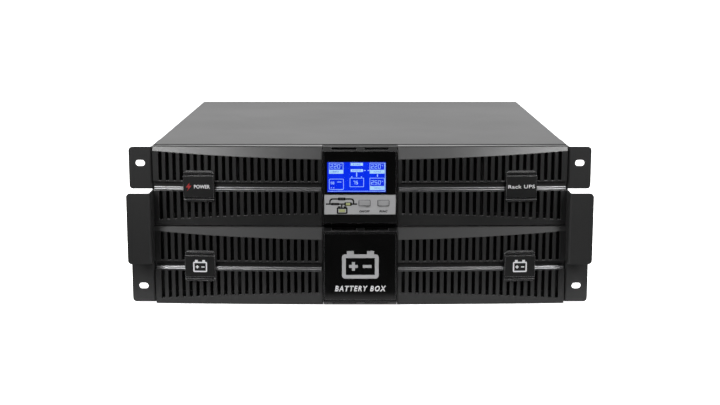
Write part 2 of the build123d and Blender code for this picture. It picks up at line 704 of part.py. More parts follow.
def fan_rotor(x):
    """A cup-shaped hub with its shaft and twisted blades."""
    y = (CASE_BACK - SHEET - FAN_DEPTH + 3, CASE_BACK - SHEET - 5)
    z = UPS_BASE + MIDDLE
    hub = rod_y(x, z, y, HUB_RADIUS) - rod_y(x, z, (y[0] + 2, y[1] + 1), HUB_RADIUS - 1.6)
    hub += rod_y(x, z, (y[0], y[1] + 1), SHAFT_RADIUS)
    blade_middle = (y[0] + y[1]) / 2
    rotor = hub
    for number in range(BLADES):
        root = Plane(origin=(0, 0, HUB_RADIUS - 1), x_dir=(1, 0, 0), z_dir=(0, 0, 1))
        tip = Plane(origin=(0, 0, FAN_BORE - 1.5), x_dir=(1, 0, 0), z_dir=(0, 0, 1))
        low = root * Rot(0, 0, 42) * Rectangle(12, 1.4)
        high = tip * Rot(0, 0, 28) * Rectangle(19, 1.2)
        blade = loft([low, high])
        rotor += Pos(x, blade_middle, z) * Rot(0, 360 / BLADES * number, 0) * blade
    return rotor


def fan_guard(x):
    """A wire grille: rings on a cross, with four screwed eyes."""
    wire = 0.9
    z = UPS_BASE + MIDDLE
    y = CASE_BACK + 2.6
    bar_y = y + 1.1
    rings = [Pos(x, y, z) * Rot(90, 0, 0) * Torus(radius, wire) for radius in (10, 19, 28, 37)]
    reach = 35.75
    bars = []
    for sign in (-1, 1):
        start = (x - reach, bar_y, z - sign * reach)
        end = (x + reach, bar_y, z + sign * reach)
        bars.append(rod(start, end, wire))
    eyes = []
    for corner_x in (-reach, reach):
        for corner_z in (-reach, reach):
            eyes.append(rod_y(x + corner_x, z + corner_z, (CASE_BACK, y + 1.6), 3.4))
    guard = bars[0]
    for piece in bars[1:] + rings + eyes:
        guard += piece
    return guard


# --- Rear fittings ------------------------------------------------------------------------------

def flanged_body(at, base, size, flange):
    """A rectangular body through the rear panel, with a thin flange outside."""
    x, z = at
    width, height, depth = size
    body_y = (CASE_BACK - depth, CASE_BACK + 0.5)
    inner = block(about(x, width - 3.4), body_y, about(base + z, height - 3.4))
    return inner + block(about(x, width), (CASE_BACK, CASE_BACK + flange), about(base + z, height))


def mains_outlet(at):
    """A panel outlet: a block with three contact slots, inside a groove for the plug's shroud."""
    x, z = at[0], UPS_BASE + at[1]
    body = flanged_body(at, UPS_BASE, OUTLET_BODY, 2)
    mouth = (CASE_BACK - 15, CASE_BACK + 3)
    groove = block(about(x, 28), mouth, about(z, 20))
    groove -= block(about(x, 24), (CASE_BACK - 16, CASE_BACK + 4), about(z, 16))
    body -= groove
    for slot_x, slot_z in ((-7, -1.5), (7, -1.5), (0, 2.5)):
        body -= block(about(x + slot_x, 2.6), mouth, about(z + slot_z, 6.4))
    return body


def mains_inlet():
    """The inlet: a deep shroud with three flat pins."""
    x, z = INLET_AT[0], UPS_BASE + INLET_AT[1]
    body = flanged_body(INLET_AT, UPS_BASE, INLET_BODY, 2.5)
    width, height, depth = INLET_CAVITY
    body -= block(about(x, width), (CASE_BACK - depth, CASE_BACK + 3), about(z, height))
    for pin_x, pin_z in ((-6.5, -3.5), (6.5, -3.5), (0, 3.5)):
        body += block(about(x + pin_x, 8), (CASE_BACK - depth - 1, CASE_BACK - 4), about(z + pin_z, 2))
    return body


def input_breaker():
    """A round thermal breaker behind the panel, with its nut and the bore for its reset button."""
    x, z = BREAKER_AT[0], UPS_BASE + BREAKER_AT[1]
    body = rod_y(x, z, (CASE_BACK - SHEET - 30, CASE_BACK - SHEET), 13)
    body += rod_y(x, z, (CASE_BACK - SHEET, CASE_BACK + 4), 7.8)
    nut = extrude(
        Plane(origin=(x, CASE_BACK, z), x_dir=(1, 0, 0), z_dir=(0, 1, 0)) * RegularPolygon(10, 6), 3
    )
    body += nut
    return body - rod_y(x, z, (CASE_BACK - 12, CASE_BACK + 5), 4.05)


def breaker_button():
    """The reset button, which pops out by its travel when the breaker trips."""
    x, z = BREAKER_AT[0], UPS_BASE + BREAKER_AT[1]
    button = rod_y(x, z, (CASE_BACK - 9, CASE_BACK + 5.5), 4.0)
    rim = button.edges().sort_by(Axis.Y)[-1]
    return fillet(rim, 0.6)


def battery_socket(at, base):
    """A two-pole battery socket with one deep cavity for each pole."""
    x, z = at[0], base + at[1]
    body = flanged_body(at, base, SOCKET_BODY, 3)
    width, height, depth = SOCKET_CAVITY
    for side in (-1, 1):
        middle = x + side * 10.5
        body -= block(about(middle, width), (CASE_BACK + 3 - depth, CASE_BACK + 4), about(z, height))
        contact_y = (CASE_BACK + 3 - depth - 1, CASE_BACK + 3 - depth + 8)
        body += block(about(middle, 10), contact_y, about(z, 2))
    return body


def serial_port():
    x, z = SERIAL_AT[0], UPS_BASE + SERIAL_AT[1]
    plane = Plane(origin=(x, CASE_BACK - 8, z), x_dir=(1, 0, 0), z_dir=(0, 1, 0))
    shell = extrude(plane * Trapezoid(16.9, 8.3, 80), 13)
    shell += block(about(x, 31), (CASE_BACK, CASE_BACK + 1), about(z, 12.5))
    for side in (-1, 1):
        shell += rod_y(x + side * 12.5, z, (CASE_BACK, CASE_BACK + 5), 2.4)
    for column in range(5):
        shell -= rod_y(x - 5.5 + 2.75 * column, z + 1.4, (CASE_BACK, CASE_BACK + 6), 0.55)
    for column in range(4):
        shell -= rod_y(x - 4.1 + 2.75 * column, z - 1.4, (CASE_BACK, CASE_BACK + 6), 0.55)
    return shell


def usb_port():
    x, z = USB_AT[0], UPS_BASE + USB_AT[1]
    shell = block(about(x, 11), (CASE_BACK - 14, CASE_BACK + 1), about(z, 10))
    shell -= block(about(x, 8.4), (CASE_BACK - 8, CASE_BACK + 2), about(z, 7.8))
    return shell + block(about(x, 5.6), (CASE_BACK - 9, CASE_BACK - 0.5), about(z, 3.2))


def trip_terminal():
    """The two-way plug-in terminal for the emergency power-off wire."""
    x, z = TRIP_AT[0], UPS_BASE + TRIP_AT[1]
    body = block(about(x, 11), (CASE_BACK - 10, CASE_BACK + 2), about(z, 9))
    body -= block(about(x, 9.4), (CASE_BACK - 6, CASE_BACK + 3), about(z, 7))
    for side in (-1, 1):
        body += block(about(x + side * 2.5, 1), (CASE_BACK - 7, CASE_BACK + 1), about(z, 1))
    return body


def card_cover():
    """The blank plate over the communication card slot, with its two screws' heads."""
    x, z = CARD_AT[0], UPS_BASE + CARD_AT[1]
    plate_y = (CASE_BACK, CASE_BACK + SHEET)
    plate = plate_xz(RectangleRounded(*CARD_SIZE, 2), x, z, plate_y)
    for side in (-1, 1):
        plate += rod_y(x, z + side * 24.5, (CASE_BACK + SHEET, CASE_BACK + 4), 3.2)
        plate -= block(about(x, 5), (CASE_BACK + 3, CASE_BACK + 5), about(z + side * 24.5, 0.8))
    return plate


def earth_stud(base):
    x, z = EARTH_AT[0], base + EARTH_AT[1]
    stud = rod_y(x, z, (CASE_BACK, CASE_BACK + REAR_REACH), 2.5)
    plane = Plane(origin=(x, CASE_BACK + 1, z), x_dir=(1, 0, 0), z_dir=(0, 1, 0))
    return stud + rod_y(x, z, (CASE_BACK, CASE_BACK + 1), 5.5) + extrude(
        plane * RegularPolygon(4.6, 6), 4
    )


def dc_breaker():
    """The battery breaker: a box through the panel with a slot that the lever stands in."""
    x, z = DC_BREAKER_AT
    width, height, depth = DC_BREAKER_SIZE
    body = block(about(x, width - 0.4), (CASE_BACK - depth, CASE_BACK + 1.5), about(z, height - 0.4))
    body -= block(about(x, 19), (CASE_BACK - 12, CASE_BACK + 2), about(z, 24))
    pivot_y = CASE_BACK - LEVER_PIVOT_BACK
    return body + rod((x - 10.5, pivot_y, z), (x + 10.5, pivot_y, z), LEVER_BORE)


def dc_breaker_lever():
    """The linked toggle, bored for its pivot. It rests up, in the closed position."""
    x, z = DC_BREAKER_AT
    pivot_y = CASE_BACK - LEVER_PIVOT_BACK
    drum = rod((x - 8.5, pivot_y, z), (x + 8.5, pivot_y, z), 5.0)
    toggle = Pos(x, pivot_y, z) * Rot(25, 0, 0) * Pos(0, 5.4, 0) * Box(15, 9.4, 5)
    lever = drum + toggle
    bore = LEVER_BORE + RUNNING_CLEARANCE
    return lever - rod((x - 9, pivot_y, z), (x + 9, pivot_y, z), bore)


def dc_fuse_holder():
    x, z = FUSE_AT
    body = rod_y(x, z, (CASE_BACK - 40, CASE_BACK), 7.8)
    body += rod_y(x, z, (CASE_BACK, CASE_BACK + 2), 10)
    cap = rod_y(x, z, (CASE_BACK + 2, CASE_BACK + 8), 7.5)
    return body + cap - block(about(x, 10), (CASE_BACK + 6.5, CASE_BACK + 9), about(z, 1.4))


# --- Inside the power unit ----------------------------------------------------------------------

BOARD_X = (-150.0, 130.0)
BOARD_Y = (50.0, 375.0)      # behind the case front
BOARD_TOP = SHEET + STANDOFF + BOARD_THICKNESS
FILTER_X = (148.0, 212.0)
FILTER_Y = (290.0, 400.0)
SINK_LENGTH = 240.0
SINK_HEIGHT = 56.0


def power_board():
    y = (behind(BOARD_Y[0]), behind(BOARD_Y[1]))
    return Pos(0, 0, UPS_BASE) * block(BOARD_X, y, (SHEET + STANDOFF, BOARD_TOP))


def filter_board():
    y = (behind(FILTER_Y[0]), behind(FILTER_Y[1]))
    board = block(FILTER_X, y, (SHEET + STANDOFF, BOARD_TOP))
    choke_at = (180, behind(320))
    choke = rod_z(*choke_at, (BOARD_TOP, BOARD_TOP + 22), 15)
    choke -= rod_z(*choke_at, (BOARD_TOP - 1, BOARD_TOP + 23), 6)
    for y_at in (350, 372):
        board += block((165, 197), about(behind(y_at), 14), (BOARD_TOP, BOARD_TOP + 20))
    return Pos(0, 0, UPS_BASE) * (board + choke)


def board_standoffs():
    z = (UPS_BASE + SHEET, UPS_BASE + SHEET + STANDOFF)
    places = [(x, y) for x in (-145, -10, 125) for y in (56, 210, 369)]
    places += [(x, y) for x in (152, 208) for y in (296, 394)]
    return group([rod_z(x, behind(y), z, 3) for x, y in places])


def heatsink(x, side):
    """An extruded heatsink standing on the power board, its fins pointing to one side."""
    y = (behind(80), behind(80 + SINK_LENGTH))
    z = (UPS_BASE + BOARD_TOP, UPS_BASE + BOARD_TOP + SINK_HEIGHT)
    sink = block(about(x, 5), y, z)
    for fin in range(8):
        fin_z = z[0] + 1 + fin * (SINK_HEIGHT - 4) / 7
        reach = sorted((x + side * 2.5, x + side * 24.5))
        sink += block(reach, y, (fin_z, fin_z + 2))
    return sink


def transistors():
    """Flat power devices on the plain sides of both heatsinks."""
    devices = []
    low = UPS_BASE + BOARD_TOP + 12
    for x in (-74.5, -44.5):
        for number in range(5):
            y = behind(105 + 46 * number)
            devices.append(block(about(x, 5), about(y, 16), (low, low + 21)))
    return group(devices)


def bus_capacitors():
    """Cylindrical capacitors with a beaded top."""
    cans = []
    z = (UPS_BASE + BOARD_TOP, UPS_BASE + BOARD_TOP + 50)
    for x in (10, 45):
        for number in range(3):
            can = rod_z(x, behind(85 + 34 * number), z, 15)
            cans.append(fillet(can.edges().sort_by(Axis.Z)[-1], 1.5))
    return group(cans)


def inductors():
    """Wound toroids lying flat on the power board."""
    z = UPS_BASE + BOARD_TOP + 9.5
    return group([Pos(28, behind(210 + 58 * number), z) * Torus(19, 9.5) for number in range(3)])


def transformer():
    """A ferrite frame around a wound bobbin."""
    x, y = 95, behind(105)
    z = (UPS_BASE + BOARD_TOP, UPS_BASE + BOARD_TOP + 44)
    core = block(about(x, 50), about(y, 18), z)
    core -= block(about(x, 36), about(y, 20), (z[0] + 7, z[1] - 7))
    bobbin = block(about(x, 33), about(y, 42), (z[0] + 8, z[1] - 8))
    edges = bobbin.edges().filter_by(Axis.Y)
    return core + fillet(edges, 5) + block(about(x, 37), about(y, 16), about(sum(z) / 2, 6))


def relays():
    z = (UPS_BASE + BOARD_TOP, UPS_BASE + BOARD_TOP + 20)
    boxes = [block(about(95, 30), about(behind(175 + 24 * n), 16), z) for n in range(5)]
    return group(boxes)


def control_card():
    """The vertical logic card beside the power board, with its processor and connectors."""
    z = (UPS_BASE + SHEET, UPS_BASE + 70)
    card = block((137, 137 + BOARD_THICKNESS), (behind(60), behind(250)), z)
    card += block((138, 141), about(behind(150), 22), about(UPS_BASE + 40, 22))
    for number in range(3):
        card += block((138, 146), about(behind(85 + 60 * number), 26), (UPS_BASE + 56, UPS_BASE + 66))
    return card


def lead(points, radius, bend):
    """An insulated wire along straight runs joined by tangent arcs."""
    path = FilletPolyline(*points, radius=bend)
    start = Plane(origin=points[0], z_dir=Vector(*points[1]) - Vector(*points[0]))
    return sweep(start * Circle(radius), path)


def power_leads():
    """Wires between fixed points: inlet to filter board, and battery socket to power board."""
    board_z = UPS_BASE + BOARD_TOP
    inlet_z = UPS_BASE + INLET_AT[1]
    socket_z = UPS_BASE + UPS_SOCKET_AT[1] - 4
    wires = []
    for shift, turn in ((0, 404), (8, 412)):
        near_x, far_x = INLET_AT[0] - 4 + shift, 176 + shift
        points = [
            (near_x, CASE_BACK - INLET_BODY[2], inlet_z),
            (near_x, behind(turn), inlet_z),
            (far_x, behind(turn), inlet_z),
            (far_x, behind(390), inlet_z),
            (far_x, behind(390), board_z),
        ]
        wires.append(lead(points, 1.8, 5))
    for side, turn, far_x in ((-1, 396, 90), (1, 384, 104)):
        near_x = UPS_SOCKET_AT[0] + 10 * side
        points = [
            (near_x, CASE_BACK - SOCKET_BODY[2], socket_z),
            (near_x, behind(turn), socket_z),
            (far_x, behind(turn), socket_z),
            (far_x, behind(355), socket_z),
            (far_x, behind(355), board_z),
        ]
        wires.append(lead(points, 2.4, 5))
    return group(wires)


# --- Inside the battery box ---------------------------------------------------------------------

def battery_places():
    """Centres of the eight blocks, in two rows of four."""
    width, depth, _ = BATTERY_SIZE
    columns = [(number - 1.5) * (width + BATTERY_GAP) for number in range(4)]
    rows = [BATTERY_FRONT + depth / 2 + number * (depth + 34) for number in range(2)]
    return [(x, behind(y)) for y in rows for x in columns]


def battery_blocks():
    """Eight sealed lead-acid blocks on their sides, each with two flat tabs towards the back."""
    blocks = []
    width, depth, height = BATTERY_SIZE
    for x, y in battery_places():
        cell = block(about(x, width), about(y, depth), (SHEET, SHEET + height))
        cell = fillet(cell.edges().filter_by(Axis.Y), 2)
        lid = block(about(x, width - 3), (y + depth / 2, y + depth / 2 + 2), (SHEET + 2, SHEET + height - 2))
        blocks.append(cell + lid)
        tab_start = y + depth / 2 + 2
        for side in (-1, 1):
            tab_x = about(x + side * TAB_OFFSET, 6.3)
            blocks.append(block(tab_x, (tab_start, tab_start + 7), about(height - 8, 0.8)))
    return group(blocks)


def battery_links():
    """Straps that join each block's terminal to its neighbour's, above the tabs."""
    straps = []
    _, depth, height = BATTERY_SIZE
    places = battery_places()
    for row in (places[:4], places[4:]):
        for (x0, y), (x1, _) in zip(row, row[1:]):
            start = y + depth / 2 + 3
            low = height - 7.6
            strap_x = (x0 + TAB_OFFSET - 3, x1 - TAB_OFFSET + 3)
            straps.append(block(strap_x, (start, start + 6), (low, low + 2)))
    return group(straps)


def hold_down_bars():
    """Two folded bars across the blocks, screwed to the box's floor at both ends."""
    bars = []
    _, _, height = BATTERY_SIZE
    top = SHEET + height
    reach = 205.0
    for y in (behind(BATTERY_FRONT + 75), behind(BATTERY_FRONT + 260)):
        bar = block((-reach, reach), about(y, 20), (top, top + 1.5))
        for side in (-1, 1):
            leg = sorted((side * (reach - 1.5), side * reach))
            bar += block(leg, about(y, 20), (SHEET, top + 1.5))
            foot = sorted((side * (reach - 1.5), side * (reach + 9)))
            bar += block(foot, about(y, 20), (SHEET, SHEET + 1.5))
        bars.append(bar)
    return group(bars)


def battery_leads():
    """Heavy wires: blocks to fuse, row to row along the left side, and breaker to socket."""
    z = MIDDLE
    tab_x, tab_z = 1.5 * (BATTERY_SIZE[0] + BATTERY_GAP) + TAB_OFFSET, BATTERY_SIZE[2] - 8
    fuse_lead = [
        (FUSE_AT[0], CASE_BACK - 40, z),
        (FUSE_AT[0], behind(396), z),
        (tab_x, behind(396), z),
        (tab_x, behind(396), tab_z),
        (tab_x, behind(385), tab_z),
    ]
    row_lead = [
        (-tab_x, behind(200), tab_z),
        (-tab_x, behind(212), tab_z),
        (-198, behind(212), tab_z),
        (-198, behind(396), tab_z),
        (-tab_x, behind(396), tab_z),
        (-tab_x, behind(385), tab_z),
    ]
    feed_x = DC_BREAKER_AT[0] - 8
    feed_y = CASE_BACK - DC_BREAKER_SIZE[2] - 9
    socket_x = BOX_SOCKETS[1][0]
    feed = [
        (feed_x, CASE_BACK - DC_BREAKER_SIZE[2], z),
        (feed_x, feed_y, z),
        (socket_x, feed_y, z),
        (socket_x, CASE_BACK - SOCKET_BODY[2], z),
    ]
    return group([lead(points, 2.8, 5) for points in (fuse_lead, row_lead, feed)])


# --- All nodes ----------------------------------------------------------------------------------

def nodes():
    """Every named piece of the object."""
    bezel = front_bezel()
    return {
        "ups_chassis": chassis_base(UPS_BASE),
        "ups_cover": unit_cover(UPS_BASE),
        "ups_rear_panel": ups_rear_panel(),
        "ups_bezel": Pos(0, 0, UPS_BASE + MIDDLE) * bezel,
        "ups_trim_strips": trim_strips(UPS_BASE),
        "display_housing": display_housing(),
        "display_window": display_window(),
        "lcd_panel": lcd_panel(),
        "display_board": display_board(),
        "control_label": control_label(),
        "on_off_button": push_button(BUTTON_X[0]),
        "function_button": push_button(BUTTON_X[1]),
        "ups_badge_left": badge(-1, UPS_BASE),
        "ups_badge_right": badge(1, UPS_BASE),
        "fan_frames": group([fan_frame(x) for x in FAN_X]),
        "fan_rotor_left": fan_rotor(FAN_X[0]),
        "fan_rotor_right": fan_rotor(FAN_X[1]),
        "fan_guards": group([fan_guard(x) for x in FAN_X]),
        "mains_outlets": group([mains_outlet(at) for at in OUTLETS]),
        "mains_inlet": mains_inlet(),
        "input_breaker": input_breaker(),
        "breaker_reset_button": breaker_button(),
        "ups_battery_socket": battery_socket(UPS_SOCKET_AT, UPS_BASE),
        "serial_port": serial_port(),
        "usb_port": usb_port(),
        "emergency_off_terminal": trip_terminal(),
        "card_slot_cover": card_cover(),
        "earth_studs": group([earth_stud(BATTERY_BASE), earth_stud(UPS_BASE)]),
        "power_board": power_board(),
        "board_standoffs": board_standoffs(),
        "heatsinks": group([heatsink(-79.5, -1), heatsink(-39.5, 1)]),
        "power_transistors": transistors(),
        "bus_capacitors": bus_capacitors(),
        "inductors": inductors(),
        "transformer": transformer(),
        "relays": relays(),
        "control_card": control_card(),
        "input_filter_board": filter_board(),
        "power_leads": power_leads(),
        "dust_filters": dust_filters(),
        "battery_chassis": chassis_base(BATTERY_BASE),
        "battery_cover": unit_cover(BATTERY_BASE),
        "battery_rear_panel": battery_rear_panel(),
        "battery_bezel": Pos(0, 0, BATTERY_BASE + MIDDLE) * bezel,
        "battery_trim_strips": trim_strips(BATTERY_BASE),
        "battery_panel_housing": battery_panel_housing(),
        "battery_panel_face": battery_panel_face(),
        "battery_badge_left": badge(-1, BATTERY_BASE),
        "battery_badge_right": badge(1, BATTERY_BASE),
        "battery_blocks": battery_blocks(),
        "battery_links": battery_links(),
        "hold_down_bars": hold_down_bars(),
        "battery_leads": battery_leads(),
        "battery_box_sockets": group([battery_socket(at, BATTERY_BASE) for at in BOX_SOCKETS]),
        "dc_breaker": dc_breaker(),
        "dc_breaker_lever": dc_breaker_lever(),
        "dc_fuse_holder": dc_fuse_holder(),
        "rack_ear_left": rack_ear(-1),
        "rack_ear_right": rack_ear(1),
        "case_screws": case_screws(),
    }


def main():
    os.makedirs("parts", exist_ok=True)
    for name, shape in nodes().items():
        export_step(shape, f"parts/{name}.step")


if __name__ == "__main__":
    main()
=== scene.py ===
"""Looks, lights and camera for a rack-mount uninterruptible power supply on its battery box."""
import json
from collections import namedtuple
from math import atan2, cos, pi, radians, sin, sqrt

import bmesh
import bpy
from mathutils import Matrix, Vector

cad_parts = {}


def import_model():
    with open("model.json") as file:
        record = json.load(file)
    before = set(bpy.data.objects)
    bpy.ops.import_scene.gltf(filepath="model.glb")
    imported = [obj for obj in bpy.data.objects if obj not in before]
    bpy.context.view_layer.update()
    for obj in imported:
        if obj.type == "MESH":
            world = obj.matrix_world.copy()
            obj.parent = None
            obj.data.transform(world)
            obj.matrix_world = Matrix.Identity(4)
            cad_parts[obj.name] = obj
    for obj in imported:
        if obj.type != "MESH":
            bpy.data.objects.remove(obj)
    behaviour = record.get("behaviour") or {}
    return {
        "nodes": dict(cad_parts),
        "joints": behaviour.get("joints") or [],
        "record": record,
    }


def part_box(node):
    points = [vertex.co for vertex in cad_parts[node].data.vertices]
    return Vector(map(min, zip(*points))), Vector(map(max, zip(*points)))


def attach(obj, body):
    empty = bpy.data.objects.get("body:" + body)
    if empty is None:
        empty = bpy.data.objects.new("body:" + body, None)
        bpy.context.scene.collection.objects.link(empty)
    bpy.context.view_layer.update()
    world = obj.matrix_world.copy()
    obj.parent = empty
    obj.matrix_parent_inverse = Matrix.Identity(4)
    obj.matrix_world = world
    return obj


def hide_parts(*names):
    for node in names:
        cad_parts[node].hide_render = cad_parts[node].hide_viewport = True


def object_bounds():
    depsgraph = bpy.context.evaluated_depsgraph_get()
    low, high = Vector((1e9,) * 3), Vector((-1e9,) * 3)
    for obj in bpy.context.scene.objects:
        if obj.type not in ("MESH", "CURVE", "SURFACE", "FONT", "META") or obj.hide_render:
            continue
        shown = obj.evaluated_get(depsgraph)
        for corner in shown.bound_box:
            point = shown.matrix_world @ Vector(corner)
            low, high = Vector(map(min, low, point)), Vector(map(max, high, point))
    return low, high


MM = 0.001

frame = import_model()
cad_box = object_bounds()
NODES = frame["nodes"]
SLOT_OF = {part["node"]: part["material_slot"] for part in frame["record"]["subparts"]}
JOINTS = {joint["name"]: joint for joint in frame["joints"]}

# --- Sizes in mm --------------------------------------------------------------------------------

PRINT = 0.06                    # thickness of silk-screened ink

# Display and control label
SCREEN_X = (-34.4, 27.1)        # the visible part of the display
SCREEN_Z = (123.6, 155.6)
SCREEN_LINE = 0.45              # stroke of the frames on the display
LAYER = 0.06                    # step between the layers of the display's picture
CAPTION_HEIGHT = 1.7
CAPTION_FRONT = 0.17            # front of the captions, in front of the display
PANE_THICKNESS = 0.6
FLOW_Z = 111.0                  # height of the flow line in the printed diagram
FLOW_LINE = 1.5                 # its stroke
BYPASS_X = (-32.4, -6.0)        # the arch of the bypass, and its top
BYPASS_TOP = 117.2
BYPASS_CORNER = 3.4
LAMP_BATTERY = (-18.8, 103.9)   # middle of the battery in the diagram
KEY_X = (4.8, 24.7)
KEY_CAPTION_Z = 103.2
KEY_SHADE_WIDTH = 0.4                 # width of the black ring of painted shade round a key
CAP_SIZE = (11.4, 5.4)          # face of a key
CAP_CLEARANCE = 0.15

# Badges: how far the face stands in front of the hinge point
BADGE_FACE = 3.6

# The bezel's upper rim is an arc; these follow it from the middle to the sides
RIM_Y = -227.0
RIM_FALL = 6.25
RIM_HALF_WIDTH = 219.0
RIM_TOPS = (85.5, 171.5)        # height of the lower and the upper bezel's rim
CHAMFER_SLOPE = 3.0             # its fall for each step forward
MODULE_EDGE = 39.8              # where the rim stops beside the modules
RIM_SHADE_WIDTH = 0.9                 # width of the black strip of painted shade down the chamfer
COVER_FRONT = -212.3
# A black strip of painted shade lies along the cover's front edge: its depth, and its bottom and
# top.
COVER_SHADE_DEPTH = 2.8
COVER_SHADE_Z = (0.02, 0.4)     # its bottom and top, above the rim

# Rear captions for each panel: words, middle in x and z as seen in the model, and width
REAR_CAPTIONS = {
    "ups_rear_panel": [
        ("OUTPUT", 5.0, 163.5, 15.0), ("INPUT", 68.0, 131.5, 11.0), ("BATTERY", 122.0, 127.0, 16.0),
        ("SERIAL", 112.0, 160.0, 12.0), ("USB", 140.0, 160.0, 6.5), ("EPO", 158.0, 160.0, 7.0),
    ],
    "battery_rear_panel": [
        ("BATTERY 1", -120.0, 60.0, 19.0), ("BATTERY 2", -60.0, 60.0, 19.0),
        ("DC BREAKER", 60.0, 73.0, 22.0), ("FUSE", 130.0, 60.0, 9.0),
    ],
}
REAR_CAPTION_HEIGHT = 3.0

# --- Stage, in metres ---------------------------------------------------------------------------

FLOOR_HALF = 60.0
TABLE_REACH = 0.05              # how far the floor stays bright in reflections, from the object
TABLE_LEVELS = (0.9, 0.015)     # its brightness in reflections near the object and far from it
STUDIO_LEVELS = (0.03, 1.5)     # light from the camera's side, and from behind the object
AIM = (0.0, -0.1, 0.1)          # what the lamps point at
CAMERA_PLACE = (0.0, -1.5693, 0.3541)
CAMERA_DOWN = 10.24             # degrees below the horizontal
CAMERA_LENS = 64.5

# Seven-segment digits: a top, b upper right, c lower right, d bottom, e lower left, f upper left,
# g middle
SEGMENTS = {"0": "abcdef", "2": "abged", "5": "afgcd", "7": "abc"}


# --- Shader helpers -----------------------------------------------------------------------------

class Shader:
    """A Principled material under construction, with short calls for the nodes it uses."""

    def __init__(self, name, roughness=0.5, metallic=0.0, specular=0.5):
        self.material = bpy.data.materials.new(name)
        self.material.use_nodes = True
        self.tree = self.material.node_tree
        self.surface = self.tree.nodes["Principled BSDF"]
        self.surface.inputs["Roughness"].default_value = roughness
        self.surface.inputs["Metallic"].default_value = metallic
        self.surface.inputs["Specular IOR Level"].default_value = specular
        self.place = self.add("ShaderNodeTexCoord").outputs["Object"]

    def add(self, kind, **settings):
        node = self.tree.nodes.new(kind)
        for name, value in settings.items():
            setattr(node, name, value)
        return node

    def link(self, output, socket):
        self.tree.links.new(output, socket)

    def put(self, node, name, value):
        if hasattr(value, "is_linked"):
            self.link(value, node.inputs[name])
        else:
            node.inputs[name].default_value = value

    def stretched(self, scale):
        """Object coordinates multiplied by a scale along each axis."""
        mapping = self.add("ShaderNodeMapping")
        self.link(self.place, mapping.inputs["Vector"])
        mapping.inputs["Scale"].default_value = scale
        return mapping.outputs["Vector"]

    def noise(self, scale, detail=2.0, stretch=None):
        node = self.add("ShaderNodeTexNoise")
        self.link(self.stretched(stretch) if stretch else self.place, node.inputs["Vector"])
        node.inputs["Scale"].default_value = scale
        node.inputs["Detail"].default_value = detail
        return node.outputs["Fac"]

    def cells(self, scale, feature="F1"):
        node = self.add("ShaderNodeTexVoronoi", feature=feature)
        self.link(self.place, node.inputs["Vector"])
        node.inputs["Scale"].default_value = scale
        return node.outputs["Distance"]

    def ranged(self, value, low, high, start=0.3, end=0.7):
        """A value between start and end, spread over low to high."""
        node = self.add("ShaderNodeMapRange")
        self.put(node, "Value", value)
        node.inputs["From Min"].default_value = start
        node.inputs["From Max"].default_value = end
        node.inputs["To Min"].default_value = low
        node.inputs["To Max"].default_value = high
        return node.outputs["Result"]

    def mixed(self, factor, first, second):
        node = self.add("ShaderNodeMix", data_type="RGBA")
        self.put(node, "Factor", factor)
        for socket, value in (("A", first), ("B", second)):
            target = [s for s in node.inputs if s.name == socket and s.type == "RGBA"][0]
            if hasattr(value, "is_linked"):
                self.link(value, target)
            else:
                target.default_value = (*value, 1.0)
        return [s for s in node.outputs if s.type == "RGBA"][0]

    def colour(self, value):
        self.put(self.surface, "Base Color", value)

    def rough(self, value):
        self.put(self.surface, "Roughness", value)

    def relief(self, height, strength, distance, edge=0.0):
        """Bump from a height, on normals softened over an edge radius in metres."""
        bump = self.add("ShaderNodeBump")
        bump.inputs["Strength"].default_value = strength
        bump.inputs["Distance"].default_value = distance
        self.link(height, bump.inputs["Height"])
        if edge:
            soft = self.add("ShaderNodeBevel", samples=4)
            soft.inputs["Radius"].default_value = edge
            self.link(soft.outputs["Normal"], bump.inputs["Normal"])
        self.link(bump.outputs["Normal"], self.surface.inputs["Normal"])

    def edge_wear_and_highlight(self, base, edge_colour, radius=0.0006):
        """Base colour, turning to another where softened and true normals part: barer paint or
        metal for wear, and a painted highlight on the mouldings whose edges it makes many times
        brighter.
        """
        soft = self.add("ShaderNodeBevel", samples=4)
        soft.inputs["Radius"].default_value = radius
        true = self.add("ShaderNodeNewGeometry").outputs["Normal"]
        dot = self.add("ShaderNodeVectorMath", operation="DOT_PRODUCT")
        self.link(soft.outputs["Normal"], dot.inputs[0])
        self.link(true, dot.inputs[1])
        edge = self.ranged(dot.outputs["Value"], 0.0, 1.0, start=0.995, end=0.8)
        return self.mixed(edge, base, edge_colour)

    def lit_upward_faces(self, base, upward_highlight):
        """Base colour, paler where the surface faces upwards: a painted highlight on ledges that
        face the light above.
        """
        split = self.add("ShaderNodeSeparateXYZ")
        self.link(self.add("ShaderNodeNewGeometry").outputs["True Normal"], split.inputs[0])
        upwards = self.ranged(split.outputs["Z"], 0.0, 1.0, start=0.6, end=0.85)
        return self.mixed(upwards, base, upward_highlight)


def grey(level):
    return (level, level, level * 1.02)


# --- Materials ----------------------------------------------------------------------------------

def powder_coat(name, level, roughness, specular=0.5):
    """Painted sheet steel: orange-peel relief and slight cloudiness, barer at the edges."""
    shader = Shader(name, roughness, specular=specular)
    cloud = shader.noise(6.0, 4.0)
    tone = shader.mixed(shader.ranged(cloud, 0, 1), grey(level * 0.85), grey(level * 1.15))
    shader.colour(shader.edge_wear_and_highlight(tone, grey(level * 3.0)))
    shader.rough(shader.ranged(cloud, roughness - 0.03, roughness + 0.03))
    shader.relief(shader.noise(1400.0, 2.0), 0.10, 0.0002, 0.0005)
    return shader.material


def black_painted_steel():
    return powder_coat("black_painted_steel", 0.010, 0.50, specular=0.28)


def grey_painted_steel():
    return powder_coat("grey_painted_steel", 0.020, 0.46)


